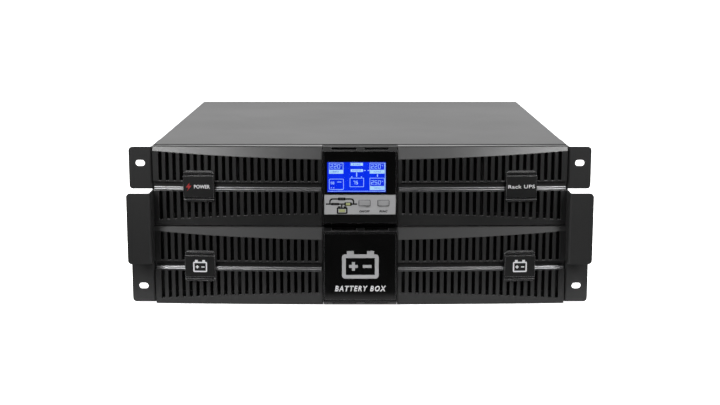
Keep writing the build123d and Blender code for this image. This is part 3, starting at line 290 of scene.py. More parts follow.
def moulded_plastic(name, level, roughness, specular, grain=2200.0, strength=0.16, edge=0.0004,
                    edge_wear_and_glint=2.2, upward_highlight=None, band=0.0004):
    """A moulding with a spark-eroded grain. Its edges are a given factor brighter over a band in
    metres: wear for small factors, a painted highlight for large ones. Its upward faces can
    be given their own paler grey, a painted highlight on ledges."""
    shader = Shader(name, roughness, specular=specular)
    cloud = shader.noise(9.0, 3.0)
    tone = shader.mixed(shader.ranged(cloud, 0, 1), grey(level * 0.85), grey(level * 1.15))
    # Paler upward faces: a painted highlight on ledges.
    if upward_highlight:
        tone = shader.lit_upward_faces(tone, grey(upward_highlight))
    # Brighter edges by a factor: wear when it is small, a painted highlight when it is large.
    shader.colour(shader.edge_wear_and_highlight(tone, grey(level * edge_wear_and_glint), band))
    shader.rough(shader.ranged(cloud, roughness - 0.04, roughness + 0.04))
    shader.relief(shader.noise(grain, 3.0), strength, 0.00015, edge)
    return shader.material


# Its upward faces are drawn paler than its front: a painted highlight on the ledges at the slots'
# ends.
def bezel_plastic():
    return moulded_plastic("bezel_plastic", 0.008, 0.35, 0.5, edge=0.0009, upward_highlight=0.065)


# Its upward faces are drawn paler than its front: a painted highlight on the ledges at the slots'
# ends.
def battery_bezel_plastic():
    return moulded_plastic("battery_bezel_plastic", 0.010, 0.5, 0.22, edge=0.0009, upward_highlight=0.065)


# Its edges are drawn many times brighter, a painted highlight along them, and its upward faces
# slightly paler, a painted highlight on its chamfers.
def module_plastic():
    return moulded_plastic("module_plastic", 0.006, 0.38, 0.06, edge=0.0006, edge_wear_and_glint=28.0,
                           upward_highlight=0.008, band=0.0005)


# Its edges are drawn many times brighter: a painted highlight along the badge's lips and sides.
def badge_plastic():
    return moulded_plastic("badge_plastic", 0.009, 0.34, 0.3, 2600.0, 0.08, 0.0006, edge_wear_and_glint=30.0,
                           band=0.0007)


def silver_trim():
    """Satin silver foil with fine lines along its length."""
    shader = Shader("silver_trim", 0.3, metallic=1.0)
    lines = shader.noise(60.0, 3.0, (0.6, 30.0, 60.0))
    shader.colour(shader.mixed(shader.ranged(lines, 0, 1), grey(0.11), grey(0.155)))
    shader.rough(shader.ranged(lines, 0.26, 0.36))
    shader.relief(lines, 0.08, 0.0001, 0.0003)
    return shader.material


def gloss_window():
    """Back-printed glossy black acrylic, with faint handling marks in its shine."""
    shader = Shader("gloss_window", 0.1, specular=0.22)
    haze = shader.noise(30.0, 4.0)
    scuffs = shader.noise(240.0, 2.0, (1.0, 1.0, 0.15))
    shader.colour(shader.mixed(shader.ranged(haze, 0, 1), grey(0.0015), grey(0.0028)))
    shader.rough(shader.ranged(scuffs, 0.07, 0.16))
    shader.relief(haze, 0.02, 0.0002, 0.0003)
    return shader.material


def clear_pane():
    """The unprinted part of the window."""
    shader = Shader("clear_pane", 0.03, specular=0.1)
    shader.surface.inputs["Transmission Weight"].default_value = 1.0
    shader.surface.inputs["IOR"].default_value = 1.2
    shader.colour(shader.mixed(shader.noise(20.0), (0.97, 0.98, 1.0), (1.0, 1.0, 1.0)))
    shader.relief(shader.noise(50.0), 0.01, 0.0001)
    return shader.material


def glowing(name, dark, light, strength, scale):
    """Something lit from behind, slightly uneven."""
    shader = Shader(name, 0.35)
    patch = shader.ranged(shader.noise(scale, 2.0), 0, 1)
    tone = shader.mixed(patch, dark, light)
    shader.colour(shader.mixed(0.85, tone, (0.0, 0.0, 0.0)))
    shader.put(shader.surface, "Emission Color", tone)
    shader.surface.inputs["Emission Strength"].default_value = strength
    shader.relief(shader.noise(900.0), 0.02, 0.0001)
    return shader.material


def lcd_blue():
    """The backlit ground of the display, with the faint grid of its dots."""
    shader = Shader("lcd_blue", 0.3, specular=0.1)
    patch = shader.ranged(shader.noise(28.0, 2.0), 0, 1)
    tone = shader.mixed(patch, (0.0, 0.018, 0.78), (0.0, 0.030, 0.92))
    rows = shader.add("ShaderNodeTexWave", bands_direction="Z")
    shader.link(shader.place, rows.inputs["Vector"])
    rows.inputs["Scale"].default_value = 1000.0
    shaded = shader.mixed(shader.ranged(rows.outputs["Fac"], 0, 1, 0, 1), tone, (0.0, 0.018, 0.72))
    shader.colour(shader.mixed(patch, (0.0, 0.002, 0.03), (0.0, 0.004, 0.05)))
    shader.put(shader.surface, "Emission Color", shaded)
    shader.surface.inputs["Emission Strength"].default_value = 1.0
    return shader.material


def lcd_white():
    return glowing("lcd_white", (0.34, 0.62, 0.94), (0.50, 0.78, 0.96), 0.8, 300.0)


def lcd_ghost():
    return glowing("lcd_ghost", (0.02, 0.08, 0.75), (0.03, 0.10, 0.85), 0.8, 300.0)


def led_green():
    return glowing("led_green", (0.34, 0.38, 0.14), (0.52, 0.56, 0.26), 0.6, 400.0)


def lcd_screen():
    """Metal and rubber surround of the display."""
    return moulded_plastic("lcd_screen", 0.02, 0.4, 0.4)


def grey_label():
    """Polyester label stock with a fine matt tooth."""
    level = 0.42
    shader = Shader("grey_label", 0.6)
    cloud = shader.noise(25.0, 3.0)
    fibre = shader.noise(1500.0, 2.0)
    tone = shader.mixed(shader.ranged(cloud, 0, 1), grey(level * 0.95), grey(level * 1.05))
    shader.colour(shader.mixed(shader.ranged(fibre, 0, 0.3), tone, grey(level * 0.8)))
    shader.rough(shader.ranged(fibre, 0.55, 0.65))
    shader.relief(fibre, 0.08, 0.0001, 0.0002)
    return shader.material


def ink(name, colour):
    """Silk-screen ink, thinner in tiny specks."""
    shader = Shader(name, 0.75, specular=0.2)
    specks = shader.noise(2500.0, 2.0)
    thin = tuple(0.82 * channel for channel in colour)
    shader.colour(shader.mixed(shader.ranged(specks, 0, 1), colour, thin))
    shader.rough(shader.ranged(specks, 0.67, 0.83))
    shader.relief(specks, 0.06, 0.00005)
    return shader.material


# The cap's edges are drawn at half the grey of its face: painted shade round the cap.
def button_plastic():
    return moulded_plastic("button_plastic", 0.36, 0.42, 0.4, 2600.0, 0.05, edge_wear_and_glint=0.5)


def button_white():
    return moulded_plastic("button_white", 0.62, 0.35, 0.5, 2600.0, 0.05)


def fan_plastic():
    return moulded_plastic("fan_plastic", 0.010, 0.42, 0.5, 1600.0, 0.10)


def socket_plastic():
    return moulded_plastic("socket_plastic", 0.014, 0.36, 0.5, 1800.0, 0.12)


def breaker_plastic():
    return moulded_plastic("breaker_plastic", 0.42, 0.42, 0.5, 1800.0, 0.10)


def component_black():
    return moulded_plastic("component_black", 0.013, 0.45, 0.5, 1500.0, 0.12)


def battery_case():
    return moulded_plastic("battery_case", 0.055, 0.5, 0.5, 900.0, 0.2)


def terminal_green():
    shader = Shader("terminal_green", 0.4)
    cloud = shader.noise(60.0, 3.0)
    tone = shader.mixed(shader.ranged(cloud, 0, 1), (0.02, 0.24, 0.07), (0.03, 0.32, 0.10))
    shader.colour(shader.edge_wear_and_highlight(tone, (0.08, 0.45, 0.18), 0.0004))
    shader.relief(shader.noise(1800.0), 0.1, 0.0001, 0.0003)
    return shader.material


def bare_metal(name, dark, light, roughness, streaks):
    """Plated or drawn metal with streaks along one direction."""
    shader = Shader(name, roughness, metallic=1.0)
    lines = shader.noise(40.0, 4.0, streaks)
    blotch = shader.noise(35.0, 3.0)
    tone = shader.mixed(shader.ranged(blotch, 0, 1), dark, light)
    shader.colour(shader.edge_wear_and_highlight(tone, tuple(min(1.0, 1.3 * c) for c in light)))
    shader.rough(shader.ranged(lines, roughness - 0.06, roughness + 0.08))
    shader.relief(lines, 0.08, 0.0001, 0.0003)
    return shader.material


def plated_steel():
    return bare_metal("plated_steel", (0.42, 0.43, 0.44), (0.60, 0.60, 0.60), 0.32, (3, 20, 20))


def brass_plated():
    return bare_metal("brass_plated", (0.55, 0.42, 0.18), (0.78, 0.62, 0.30), 0.28, (20, 3, 20))


def bare_aluminium():
    return bare_metal("bare_aluminium", (0.55, 0.56, 0.57), (0.72, 0.73, 0.74), 0.38, (20, 1, 20))


def copper_winding():
    shader = Shader("copper_winding", 0.35, metallic=0.8)
    turns = shader.add("ShaderNodeTexWave", bands_direction="DIAGONAL")
    shader.link(shader.place, turns.inputs["Vector"])
    turns.inputs["Scale"].default_value = 350.0
    wire = turns.outputs["Fac"]
    shader.colour(shader.mixed(wire, (0.20, 0.06, 0.02), (0.72, 0.30, 0.12)))
    shader.relief(wire, 0.6, 0.0005)
    return shader.material


def ferrite():
    return moulded_plastic("ferrite", 0.035, 0.65, 0.4, 700.0, 0.3)


def capacitor_sleeve():
    shader = Shader("capacitor_sleeve", 0.3)
    cloud = shader.noise(40.0, 2.0)
    tone = shader.mixed(shader.ranged(cloud, 0, 1), (0.010, 0.014, 0.040), (0.016, 0.024, 0.070))
    shader.colour(shader.edge_wear_and_highlight(tone, grey(0.2), 0.0006))
    shader.relief(shader.noise(600.0), 0.05, 0.0001, 0.0004)
    return shader.material


def circuit_board():
    """Green solder mask over raised tracks, with tinned pads."""
    shader = Shader("circuit_board", 0.32)
    tracks = shader.cells(220.0, "DISTANCE_TO_EDGE")
    track = shader.ranged(tracks, 1.0, 0.0, 0.02, 0.05)
    pads = shader.ranged(shader.cells(330.0), 1.0, 0.0, 0.10, 0.14)
    mask = shader.mixed(track, (0.008, 0.075, 0.030), (0.020, 0.130, 0.050))
    shader.colour(shader.mixed(pads, mask, (0.55, 0.55, 0.52)))
    shader.relief(track, 0.3, 0.0002)
    return shader.material


def wire_insulation():
    shader = Shader("wire_insulation", 0.38)
    cloud = shader.ranged(shader.noise(50.0, 2.0), 0, 1)
    shader.colour(shader.mixed(cloud, (0.16, 0.008, 0.006), (0.30, 0.02, 0.015)))
    shader.relief(shader.noise(1200.0), 0.08, 0.0001)
    return shader.material


def filter_foam():
    """Open-cell black foam."""
    shader = Shader("filter_foam", 0.95, specular=0.1)
    pores = shader.cells(650.0, "DISTANCE_TO_EDGE")
    shader.colour(shader.mixed(shader.ranged(pores, 0, 1, 0, 0.3), grey(0.008), grey(0.0015)))
    shader.relief(pores, 1.0, 0.001)
    return shader.material


def screw_black():
    return bare_metal("screw_black", (0.03, 0.03, 0.032), (0.07, 0.07, 0.075), 0.36, (25, 3, 25))


SLOT_MATERIALS = [
    black_painted_steel, grey_painted_steel, bezel_plastic, badge_plastic, silver_trim,
    gloss_window, lcd_screen, circuit_board, grey_label, button_plastic, button_white,
    fan_plastic, plated_steel, socket_plastic, terminal_green, brass_plated, bare_aluminium,
    component_black, capacitor_sleeve, copper_winding, ferrite, wire_insulation, filter_foam,
    battery_case, breaker_plastic, screw_black,
]


def dress_cad_nodes():
    """Gives every CAD node the material of its slot, and a few their own variant."""
    made = {maker.__name__: maker() for maker in SLOT_MATERIALS}
    own = {
        "battery_bezel": battery_bezel_plastic(),
        "display_housing": module_plastic(),
        "battery_panel_housing": module_plastic(),
    }
    for name, node in NODES.items():
        material = own.get(name, made[SLOT_OF[name]])
        if not node.material_slots:
            node.data.materials.append(material)
        for slot in node.material_slots:
            slot.material = material
    return made


# --- Flat outlines, in mm, x across and z up ----------------------------------------------------

def rounded(x, z, radius, steps=6):
    """A rectangle given as (low, high) pairs, with round corners."""
    corners = [
        (x[1] - radius, z[1] - radius, 0),
        (x[0] + radius, z[1] - radius, 90),
        (x[0] + radius, z[0] + radius, 180),
        (x[1] - radius, z[0] + radius, 270),
    ]
    outline = []
    for across, up, start in corners:
        for step in range(steps + 1):
            turn = radians(start + 90 * step / steps)
            outline.append((across + radius * cos(turn), up + radius * sin(turn)))
    return outline


def bar(x, z):
    return [(x[1], z[1]), (x[0], z[1]), (x[0], z[0]), (x[1], z[0])]


def about(centre, size):
    return (centre - size / 2, centre + size / 2)


def widened(pair, amount):
    return (pair[0] - amount, pair[1] + amount)


def disc(x, z, radius, steps=32):
    turns = [2 * pi * step / steps for step in range(steps)]
    return [(x + radius * cos(turn), z + radius * sin(turn)) for turn in turns]


def digit_bars(character, x, z, width, height, line):
    """The bars of one seven-segment digit whose lower left corner is at x, z."""
    middle = z + height / 2
    top = z + height
    right = x + width
    places = {
        "a": bar((x, right), (top - line, top)),
        "b": bar((right - line, right), (middle, top)),
        "c": bar((right - line, right), (z, middle)),
        "d": bar((x, right), (z, z + line)),
        "e": bar((x, x + line), (z, middle)),
        "f": bar((x, x + line), (middle, top)),
        "g": bar((x, right), about(middle, line)),
    }
    return [places[segment] for segment in SEGMENTS[character]]


def number(digits, x, z, width, height, line):
    """The bars of a row of digits."""
    pitch = width * 1.35
    bars = []
    for place, character in enumerate(digits):
        bars += digit_bars(character, x + place * pitch, z, width, height, line)
    return bars


def ring_of_bars(x, z, line):
    """A rectangular frame as four bars."""
    return [
        bar(x, (z[0], z[0] + line)),
        bar(x, (z[1] - line, z[1])),
        bar((x[0], x[0] + line), z),
        bar((x[1] - line, x[1]), z),
    ]


# --- Pieces -------------------------------------------------------------------------------------

# Where a piece goes: its place in the world, the body that it rides on and its material slot
Mount = namedtuple("Mount", "place body slot")


def add_slab(mesh, outline, back, front, hole=None):
    """A flat slab between two depths, y running backwards; a hole has as many points."""
    def loop(points, depth):
        return [mesh.verts.new((x * MM, depth * MM, z * MM)) for x, z in points]

    def wall(first, second):
        count = len(first)
        for here in range(count):
            after = (here + 1) % count
            mesh.faces.new((first[here], first[after], second[after], second[here]))

    front_outer = loop(outline, front)
    back_outer = loop(outline, back)
    if hole:
        front_inner = loop(hole, front)
        back_inner = loop(hole, back)
        wall(front_outer, front_inner)
        wall(back_inner, back_outer)
        wall(front_inner, back_inner)
    else:
        mesh.faces.new(front_outer)
        mesh.faces.new(list(reversed(back_outer)))
    wall(back_outer, front_outer)


def finish_piece(name, data, mount, material):
    """Links a mesh as a piece that rides on a body."""
    data.materials.append(material)
    piece = bpy.data.objects.new(name, data)
    bpy.context.scene.collection.objects.link(piece)
    piece.matrix_world = mount.place
    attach(piece, mount.body)
    return piece


def finish_mesh(name, mesh, mount, material):
    """Turns a mesh under construction into a piece."""
    bmesh.ops.recalc_face_normals(mesh, faces=mesh.faces)
    data = bpy.data.meshes.new(name)
    mesh.to_mesh(data)
    mesh.free()
    return finish_piece(name, data, mount, material)


def slabs(name, outlines, depths, mount, material):
    """One piece of several slabs; an item is an outline, or an (outline, hole) pair."""
    mesh = bmesh.new()
    for item in outlines:
        outline, hole = item if isinstance(item, tuple) else (item, None)
        add_slab(mesh, outline, depths[0], depths[1], hole)
    return finish_mesh(name, mesh, mount, material)


def lettering(name, words, centre, size, depths, mount, material, slant=0.0, weight=0.0,
              spacing=1.0):
    """Generic words fitted to a width and height about a centre."""
    curve = bpy.data.curves.new(name, "FONT")
    curve.body = words
    curve.shear = slant
    curve.offset = weight
    curve.space_character = spacing
    curve.extrude = 0.1
    curve.resolution_u = 3
    holder = bpy.data.objects.new(name + "_outline", curve)
    bpy.context.scene.collection.objects.link(holder)
    bpy.context.view_layer.update()
    graph = bpy.context.evaluated_depsgraph_get()
    data = bpy.data.meshes.new_from_object(holder.evaluated_get(graph))
    bpy.data.objects.remove(holder)
    low = [min(vertex.co[axis] for vertex in data.vertices) for axis in range(3)]
    high = [max(vertex.co[axis] for vertex in data.vertices) for axis in range(3)]
    back, front = depths
    for vertex in data.vertices:
        across, up, out = [
            (vertex.co[axis] - low[axis]) / (high[axis] - low[axis]) for axis in range(3)
        ]
        vertex.co = (
            (centre[0] + (across - 0.5) * size[0]) * MM,
            (back + (front - back) * out) * MM,
            (centre[1] + (up - 0.5) * size[1]) * MM,
        )
    return finish_piece(name, data, mount, material)


def soften(piece, width):
    """Rounds a piece's sharp edges by a width in mm."""
    edge = piece.modifiers.new("edges", "BEVEL")
    edge.width = width * MM
    edge.segments = 3
    edge.limit_method = "ANGLE"


def on_front_of(node):
    """A place whose y = 0 is the front plane of a CAD node."""
    low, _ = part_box(node)
    return Matrix.Translation((0, low.y, 0))


def outline_box(node):
    """The (low, high) pairs of a CAD node in mm, across and up."""
    low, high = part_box(node)
    return (low.x / MM, high.x / MM), (low.z / MM, high.z / MM)


def battery_symbol(x, z, width, height, line, radius, posts, post_height):
    """A battery outline with two posts; posts are (low, high) across from the middle."""
    across = about(x, width)
    up = about(z, height)
    inside = rounded(widened(across, -line), widened(up, -line), max(0.05, radius - line))
    shapes = [(rounded(across, up, radius), inside)]
    for low, high in posts:
        shapes.append(bar((x + low, x + high), (up[1] - 0.05, up[1] + post_height)))
    return shapes


def signs(x_plus, x_minus, z, size, line):
    """A plus and a minus."""
    return [
        bar(about(x_plus, size), about(z, line)),
        bar(about(x_plus, line), (z + line / 2, z + size / 2)),
        bar(about(x_plus, line), (z - size / 2, z - line / 2)),
        bar(about(x_minus, size), about(z, line)),
    ]


# --- Display module -----------------------------------------------------------------------------

def window(made):
    """The window as a back-printed frame with a clear pane over the display."""
    low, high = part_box("display_window")
    mount = Mount(on_front_of("display_window"), "display_module", "gloss_window")
    thickness = (high.y - low.y) / MM
    opening = rounded(SCREEN_X, SCREEN_Z, 0.5)
    sheet = (rounded(*outline_box("display_window"), 0.8), opening)
    printed = slabs("window_print", [sheet], (thickness, 0.0), mount, made["gloss_window"])
    soften(printed, 0.15)
    slabs("window_pane", [opening], (PANE_THICKNESS, 0.0), mount, clear_pane())
    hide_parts("display_window")


def screen_x(share):
    return SCREEN_X[0] + share * (SCREEN_X[1] - SCREEN_X[0])


def screen_z(share):
    """Height on the display for a share counted from its top."""
    return SCREEN_Z[1] - share * (SCREEN_Z[1] - SCREEN_Z[0])


def screen_box(x, z):
    """(low, high) pairs in mm from shares of the display, z shares counted from the top."""
    return (screen_x(x[0]), screen_x(x[1])), (screen_z(z[1]), screen_z(z[0]))


def reading(digits, x, z, caption_top, foot):
    """A framed three-digit reading over a solid caption bar, in shares of the display."""
    shapes = ring_of_bars(*screen_box(x, z), SCREEN_LINE)
    shapes.append(bar(*screen_box(x, (caption_top, z[1]))))
    shapes += number(digits, screen_x(x[0] + 0.025), screen_z(foot), 2.7, 4.2, SCREEN_LINE)
    return shapes


def mode_box():
    """The round-cornered box of small signs at the display's lower left."""
    across, up = screen_box((0.03, 0.28), (0.56, 0.92))
    inside = rounded(widened(across, -SCREEN_LINE), widened(up, -SCREEN_LINE), 0.8)
    shapes = [(rounded(across, up, 1.2), inside)]
    shapes += number("50", screen_x(0.06), screen_z(0.74), 1.5, 2.6, 0.4)
    shapes += [disc(screen_x(share), screen_z(0.86), 0.5, 16) for share in (0.07, 0.11)]
    shapes.append(bar(*screen_box((0.17, 0.24), (0.655, 0.675))))
    return shapes


def battery_gauge():
    """The battery in the middle of the display, with its charge."""
    shapes = ring_of_bars(*screen_box((0.385, 0.625), (0.53, 0.83)), SCREEN_LINE)
    for share in (0.42, 0.585):
        shapes.append(bar(about(screen_x(share), 1.0), (screen_z(0.515), screen_z(0.48))))
    shapes += number("75", screen_x(0.445), screen_z(0.74), 2.0, 3.6, 0.5)
    return shapes


def flow_bars():
    """The two middle caption bars, the links between the blocks, and the border lines."""
    places = [
        ((0.40, 0.61), (0.03, 0.125)), ((0.40, 0.61), (0.24, 0.33)),
        ((0.625, 0.655), (0.27, 0.295)), ((0.69, 0.72), (0.27, 0.295)),
        ((0.495, 0.51), (0.34, 0.49)), ((0.85, 0.865), (0.41, 0.49)),
        ((0.01, 0.99), (0.965, 0.98)), ((0.985, 0.993), (0.03, 0.965)),
    ]
    return [bar(*screen_box(x, z)) for x, z in places]


def display_picture():
    """The lit ground of the display and everything shown on it."""
    mount = Mount(on_front_of("lcd_panel"), "display_module", "lcd_screen")
    ground = rounded(widened(SCREEN_X, -0.05), widened(SCREEN_Z, -0.05), 0.4)
    slabs("display_ground", [ground], (-0.01, -LAYER), mount, lcd_blue())
    lit = reading("220", (0.03, 0.275), (0.03, 0.39), 0.26, 0.215)
    lit += reading("220", (0.725, 0.98), (0.03, 0.385), 0.26, 0.215)
    lit += reading("250", (0.725, 0.98), (0.53, 0.93), 0.80, 0.745)
    lit += mode_box() + battery_gauge() + flow_bars()
    light = lcd_white()
    slabs("display_symbols", lit, (-LAYER, -2 * LAYER), mount, light)
    dark = lcd_ghost()
    captions = [
        ("INPUT", 0.1525, 0.325, 6.6), ("BYPASS", 0.505, 0.0775, 8.0),
        ("INVERTER", 0.505, 0.285, 9.4), ("OUTPUT", 0.8525, 0.3225, 8.4),
        ("LOAD", 0.8525, 0.865, 6.4),
    ]
    for words, x, z, width in captions:
        lettering("caption_" + words.lower(), words, (screen_x(x), screen_z(z)),
                  (width, CAPTION_HEIGHT), (-2 * LAYER, -CAPTION_FRONT), mount, dark)
    units = [("input", "V", 0.235, 0.12), ("output", "V", 0.94, 0.12), ("load", "W", 0.94, 0.65)]
    for name, unit, x, z in units:
        lettering("unit_" + name, unit, (screen_x(x), screen_z(z)), (1.5, CAPTION_HEIGHT),
                  (-LAYER, -2 * LAYER), mount, light)


def bypass_arch():
    """The arch over the flow line: its rounded top and its two legs."""
    top = (FLOW_Z - 4.0, BYPASS_TOP)
    inner_x = widened(BYPASS_X, -FLOW_LINE)
    outer = rounded(BYPASS_X, top, BYPASS_CORNER)
    inner = rounded(inner_x, (top[0], BYPASS_TOP - FLOW_LINE), BYPASS_CORNER - 0.8)
    upper_half = len(outer) // 2
    shapes = [outer[:upper_half] + list(reversed(inner[:upper_half]))]
    for left in (BYPASS_X[0], inner_x[1]):
        leg = (FLOW_Z, BYPASS_TOP - BYPASS_CORNER + 0.05)
        shapes.append(bar((left, left + FLOW_LINE), leg))
    return shapes


def flow_arrows():
    """The two arrow heads on the flow line, and the one that rises from the battery."""
    return [
        [(-2.4, FLOW_Z), (-4.4, FLOW_Z + 1.2), (-4.4, FLOW_Z - 1.2)],
        [(-33.8, FLOW_Z), (-36.0, FLOW_Z + 1.0), (-36.0, FLOW_Z - 1.0)],
        [(-19.2, FLOW_Z + 0.2), (-20.4, FLOW_Z - 1.9), (-18.0, FLOW_Z - 1.9)],
        bar(about(-19.2, FLOW_LINE), (FLOW_Z - 3.6, FLOW_Z - 1.6)),
    ]


def mimic_diagram(made):
    """The printed power-flow diagram and captions of the control label."""
    mount = Mount(on_front_of("control_label"), "display_module", "grey_label")
    black = ink("label_ink", grey(0.006))
    printed = (0.0, -PRINT)
    bypass_z = BYPASS_TOP - 0.75
    shapes = bypass_arch() + flow_arrows()
    shapes.append(bar((-35.8, -3.6), about(FLOW_Z, FLOW_LINE)))
    shapes.append(rounded(about(-19.2, 8.0), about(bypass_z, 3.1), 0.8))
    shapes.append(rounded(about(-26.2, 8.8), about(FLOW_Z, 2.6), 0.8))
    shapes.append(rounded(about(-12.6, 7.8), about(FLOW_Z, 3.8), 0.8))
    shapes += battery_symbol(*LAMP_BATTERY, 11.4, 7.0, 1.6, 1.0, ((-4.6, -1.6), (1.6, 4.6)), 1.3)
    slabs("mimic_lines", shapes, printed, mount, black)
    over_print = (-PRINT, -2 * PRINT)
    off = [
        rounded(about(-19.2, 5.6), about(bypass_z, 1.2), 0.5),
        rounded(about(-26.2, 4.8), about(FLOW_Z, 1.0), 0.4),
    ]
    slabs("lamps_off", off, over_print, mount, ink("lamp_off", grey(0.03)))
    lit = [
        rounded(about(-12.6, 4.4), about(FLOW_Z, 2.6), 0.5),
        rounded(about(LAMP_BATTERY[0], 6.4), about(LAMP_BATTERY[1], 2.8), 0.5),
    ]
    slabs("lamps_on", lit, over_print, mount, led_green())
    for words, x, width in (("ON/OFF", KEY_X[0], 11.0), ("FUNC", KEY_X[1], 8.8)):
        lettering("key_" + words[:2].lower(), words, (x, KEY_CAPTION_Z), (width, 2.3), printed,
                  mount, black, slant=0.25, weight=0.06, spacing=1.15)
    for title, body in (("on_off", "on_off_key"), ("function", "function_key")):
        key_cap(title, body, mount, black, made)


def key_cap(title, body, mount, black, made):
    """A key: a cap in a printed surround, with a black ring of painted shade between them."""
    node = title + "_button"
    across, up = outline_box(node)
    low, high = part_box(node)
    face = (about(sum(across) / 2, CAP_SIZE[0]), about(sum(up) / 2, CAP_SIZE[1]))
    clear = rounded(*[widened(pair, CAP_CLEARANCE) for pair in face], 0.8)
    joint = rounded(*[widened(pair, CAP_CLEARANCE + KEY_SHADE_WIDTH) for pair in face], 1.0)
    surround = rounded(*[widened(pair, CAP_CLEARANCE) for pair in (across, up)], 1.2)
    slabs(title + "_surround", [(surround, clear)], (0.0, -PRINT), mount, made["grey_label"])
    # A black ring printed round the cap: painted shade in the gap round the key.
    slabs(title + "_joint", [(joint, clear)], (-PRINT, -2 * PRINT), mount, black)
    label = mount.place.translation.y
    depths = ((high.y - label) / MM, (low.y - label) / MM)
    moving = Mount(mount.place, body, "button_plastic")
    cap = slabs(title + "_cap", [rounded(*face, 0.7)], depths, moving, made["button_plastic"])
    soften(cap, 0.3)
    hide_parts(node)


# --- Painted shade along the seams --------------------------------------------------------------

def rim_y(x):
    """Depth of the bezel's bowed rim at x."""
    radius = (RIM_HALF_WIDTH**2 + RIM_FALL**2) / (2 * RIM_FALL)
    return RIM_Y + radius - sqrt(radius**2 - x**2)


def add_bowed_strip(mesh, ends, top, steps=24):
    """A thin black strip of painted shade down the head of the chamfer, along the bowed rim between
    two ends in x.
    """
    rings = []
    for step in range(steps + 1):
        x = ends[0] + (ends[1] - ends[0]) * step / steps
        y = rim_y(x)
        foot = y - RIM_SHADE_WIDTH / CHAMFER_SLOPE
        section = [
            (y, top),
            (y, top + PRINT),
            (y - PRINT, top + PRINT),
            (foot - PRINT, top - RIM_SHADE_WIDTH),
            (foot, top - RIM_SHADE_WIDTH),
        ]
        rings.append([mesh.verts.new((x * MM, depth * MM, z * MM)) for depth, z in section])
    for here, after in zip(rings, rings[1:]):
        for side in range(len(here)):
            following = (side + 1) % len(here)
            mesh.faces.new((here[side], here[following], after[following], after[side]))
    mesh.faces.new(list(reversed(rings[0])))
    mesh.faces.new(rings[-1])


def seam_shade():
    """Black strips of painted shade: one along each bezel's rim, and one between the upper bezel
    and its cover.
    """
    mount = Mount(Matrix.Identity(4), "chassis", "bezel_plastic")
    # Black ink for the strips: painted shade in the seams.
    shade_ink = ink("painted_shade_black", grey(0.004))
    for index, top in enumerate(RIM_TOPS):
        mesh = bmesh.new()
        for side in (-1, 1):
            ends = sorted((side * MODULE_EDGE, side * RIM_HALF_WIDTH))
            add_bowed_strip(mesh, ends, top)
        finish_mesh(f"rim_joint_{index + 1}", mesh, mount, shade_ink)
    across = about(0.0, 2 * RIM_HALF_WIDTH - 1.0)
    joint = bar(across, [RIM_TOPS[1] + height for height in COVER_SHADE_Z])
    slabs("cover_joint", [joint], (COVER_FRONT, COVER_FRONT - COVER_SHADE_DEPTH), mount, shade_ink)


# --- Battery panel, badges and rear panels ------------------------------------------------------

def battery_panel_print():
    """The large battery symbol and its words."""
    mount = Mount(on_front_of("battery_panel_face"), "battery_panel", "grey_label")
    printed = (0.0, -PRINT)
    shapes = battery_symbol(0.35, 43.6, 38.9, 26.4, 4.0, 3.4, ((-14.2, -6.8), (7.0, 14.6)), 3.6)
    shapes += signs(-7.0, 7.6, 43.7, 9.4, 3.2)
    slabs("battery_symbol", shapes, printed, mount, ink("panel_ink", grey(0.44)))
    lettering("battery_words", "BATTERY BOX", (0.6, 19.5), (54.6, 6.2), printed, mount,
              ink("words_ink", grey(0.62)), slant=0.22, weight=0.035, spacing=1.3)


def badge_mount(joint_name, body):
    """The mount of a badge's print: turned with the badge, y = 0 on its face."""
    joint = JOINTS[joint_name]
    outward = Vector(joint["axis"])
    face = Vector(joint["pos_m"]) + outward * (BADGE_FACE * MM)
    turn = Matrix.Rotation(atan2(outward.x, -outward.y), 4, "Z")
    return Mount(Matrix.Translation(face) @ turn, body, "badge_plastic")


def badge_print():
    """Generic marks on the four badges: a bolt, words and two battery symbols."""
    white = ink("badge_ink", grey(0.86))
    accent = ink("badge_accent", (0.46, 0.03, 0.03))
    printed = (0.0, -PRINT)
    left = badge_mount("ups_badge_left_turn", "ups_badge_l")
    bolt = [(-9.0, 4.4), (-13.4, -0.9), (-10.6, -0.9), (-12.2, -5.0), (-7.2, 1.0), (-10.0, 1.0)]
    slabs("bolt_mark", [bolt], printed, left, accent)
    lettering("badge_word_left", "POWER", (3.8, 0.0), (17.0, 4.0), printed, left, white,
              weight=0.03)
    right = badge_mount("ups_badge_right_turn", "ups_badge_r")
    lettering("badge_word_right", "Rack UPS", (0.0, 0.0), (28.5, 3.9), printed, right, white,
              weight=0.02, spacing=1.1)
    for side in ("left", "right"):
        mount = badge_mount(f"battery_badge_{side}_turn", f"battery_badge_{side[0]}")
        shapes = battery_symbol(0.0, -0.6, 14.9, 11.2, 1.4, 1.2, ((-5.4, -2.4), (2.4, 5.4)), 2.0)
        shapes += signs(-3.0, 3.0, -0.6, 3.4, 1.2)
        slabs(f"badge_battery_{side}", shapes, printed, mount, white)


def rear_print():
    """Generic captions over the rear fittings."""
    white = ink("rear_ink", grey(0.55))
    for node, rows in REAR_CAPTIONS.items():
        _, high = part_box(node)
        place = Matrix.Translation((0, high.y, 0)) @ Matrix.Rotation(pi, 4, "Z")
        mount = Mount(place, "chassis", "black_painted_steel")
        for index, (words, x, z, width) in enumerate(rows):
            lettering(f"{node}_word_{index + 1}", words, (-x, z), (width, REAR_CAPTION_HEIGHT),
                      (0.0, -PRINT), mount, white, weight=0.02)


# --- Floor, light and camera --------------------------------------------------------------------

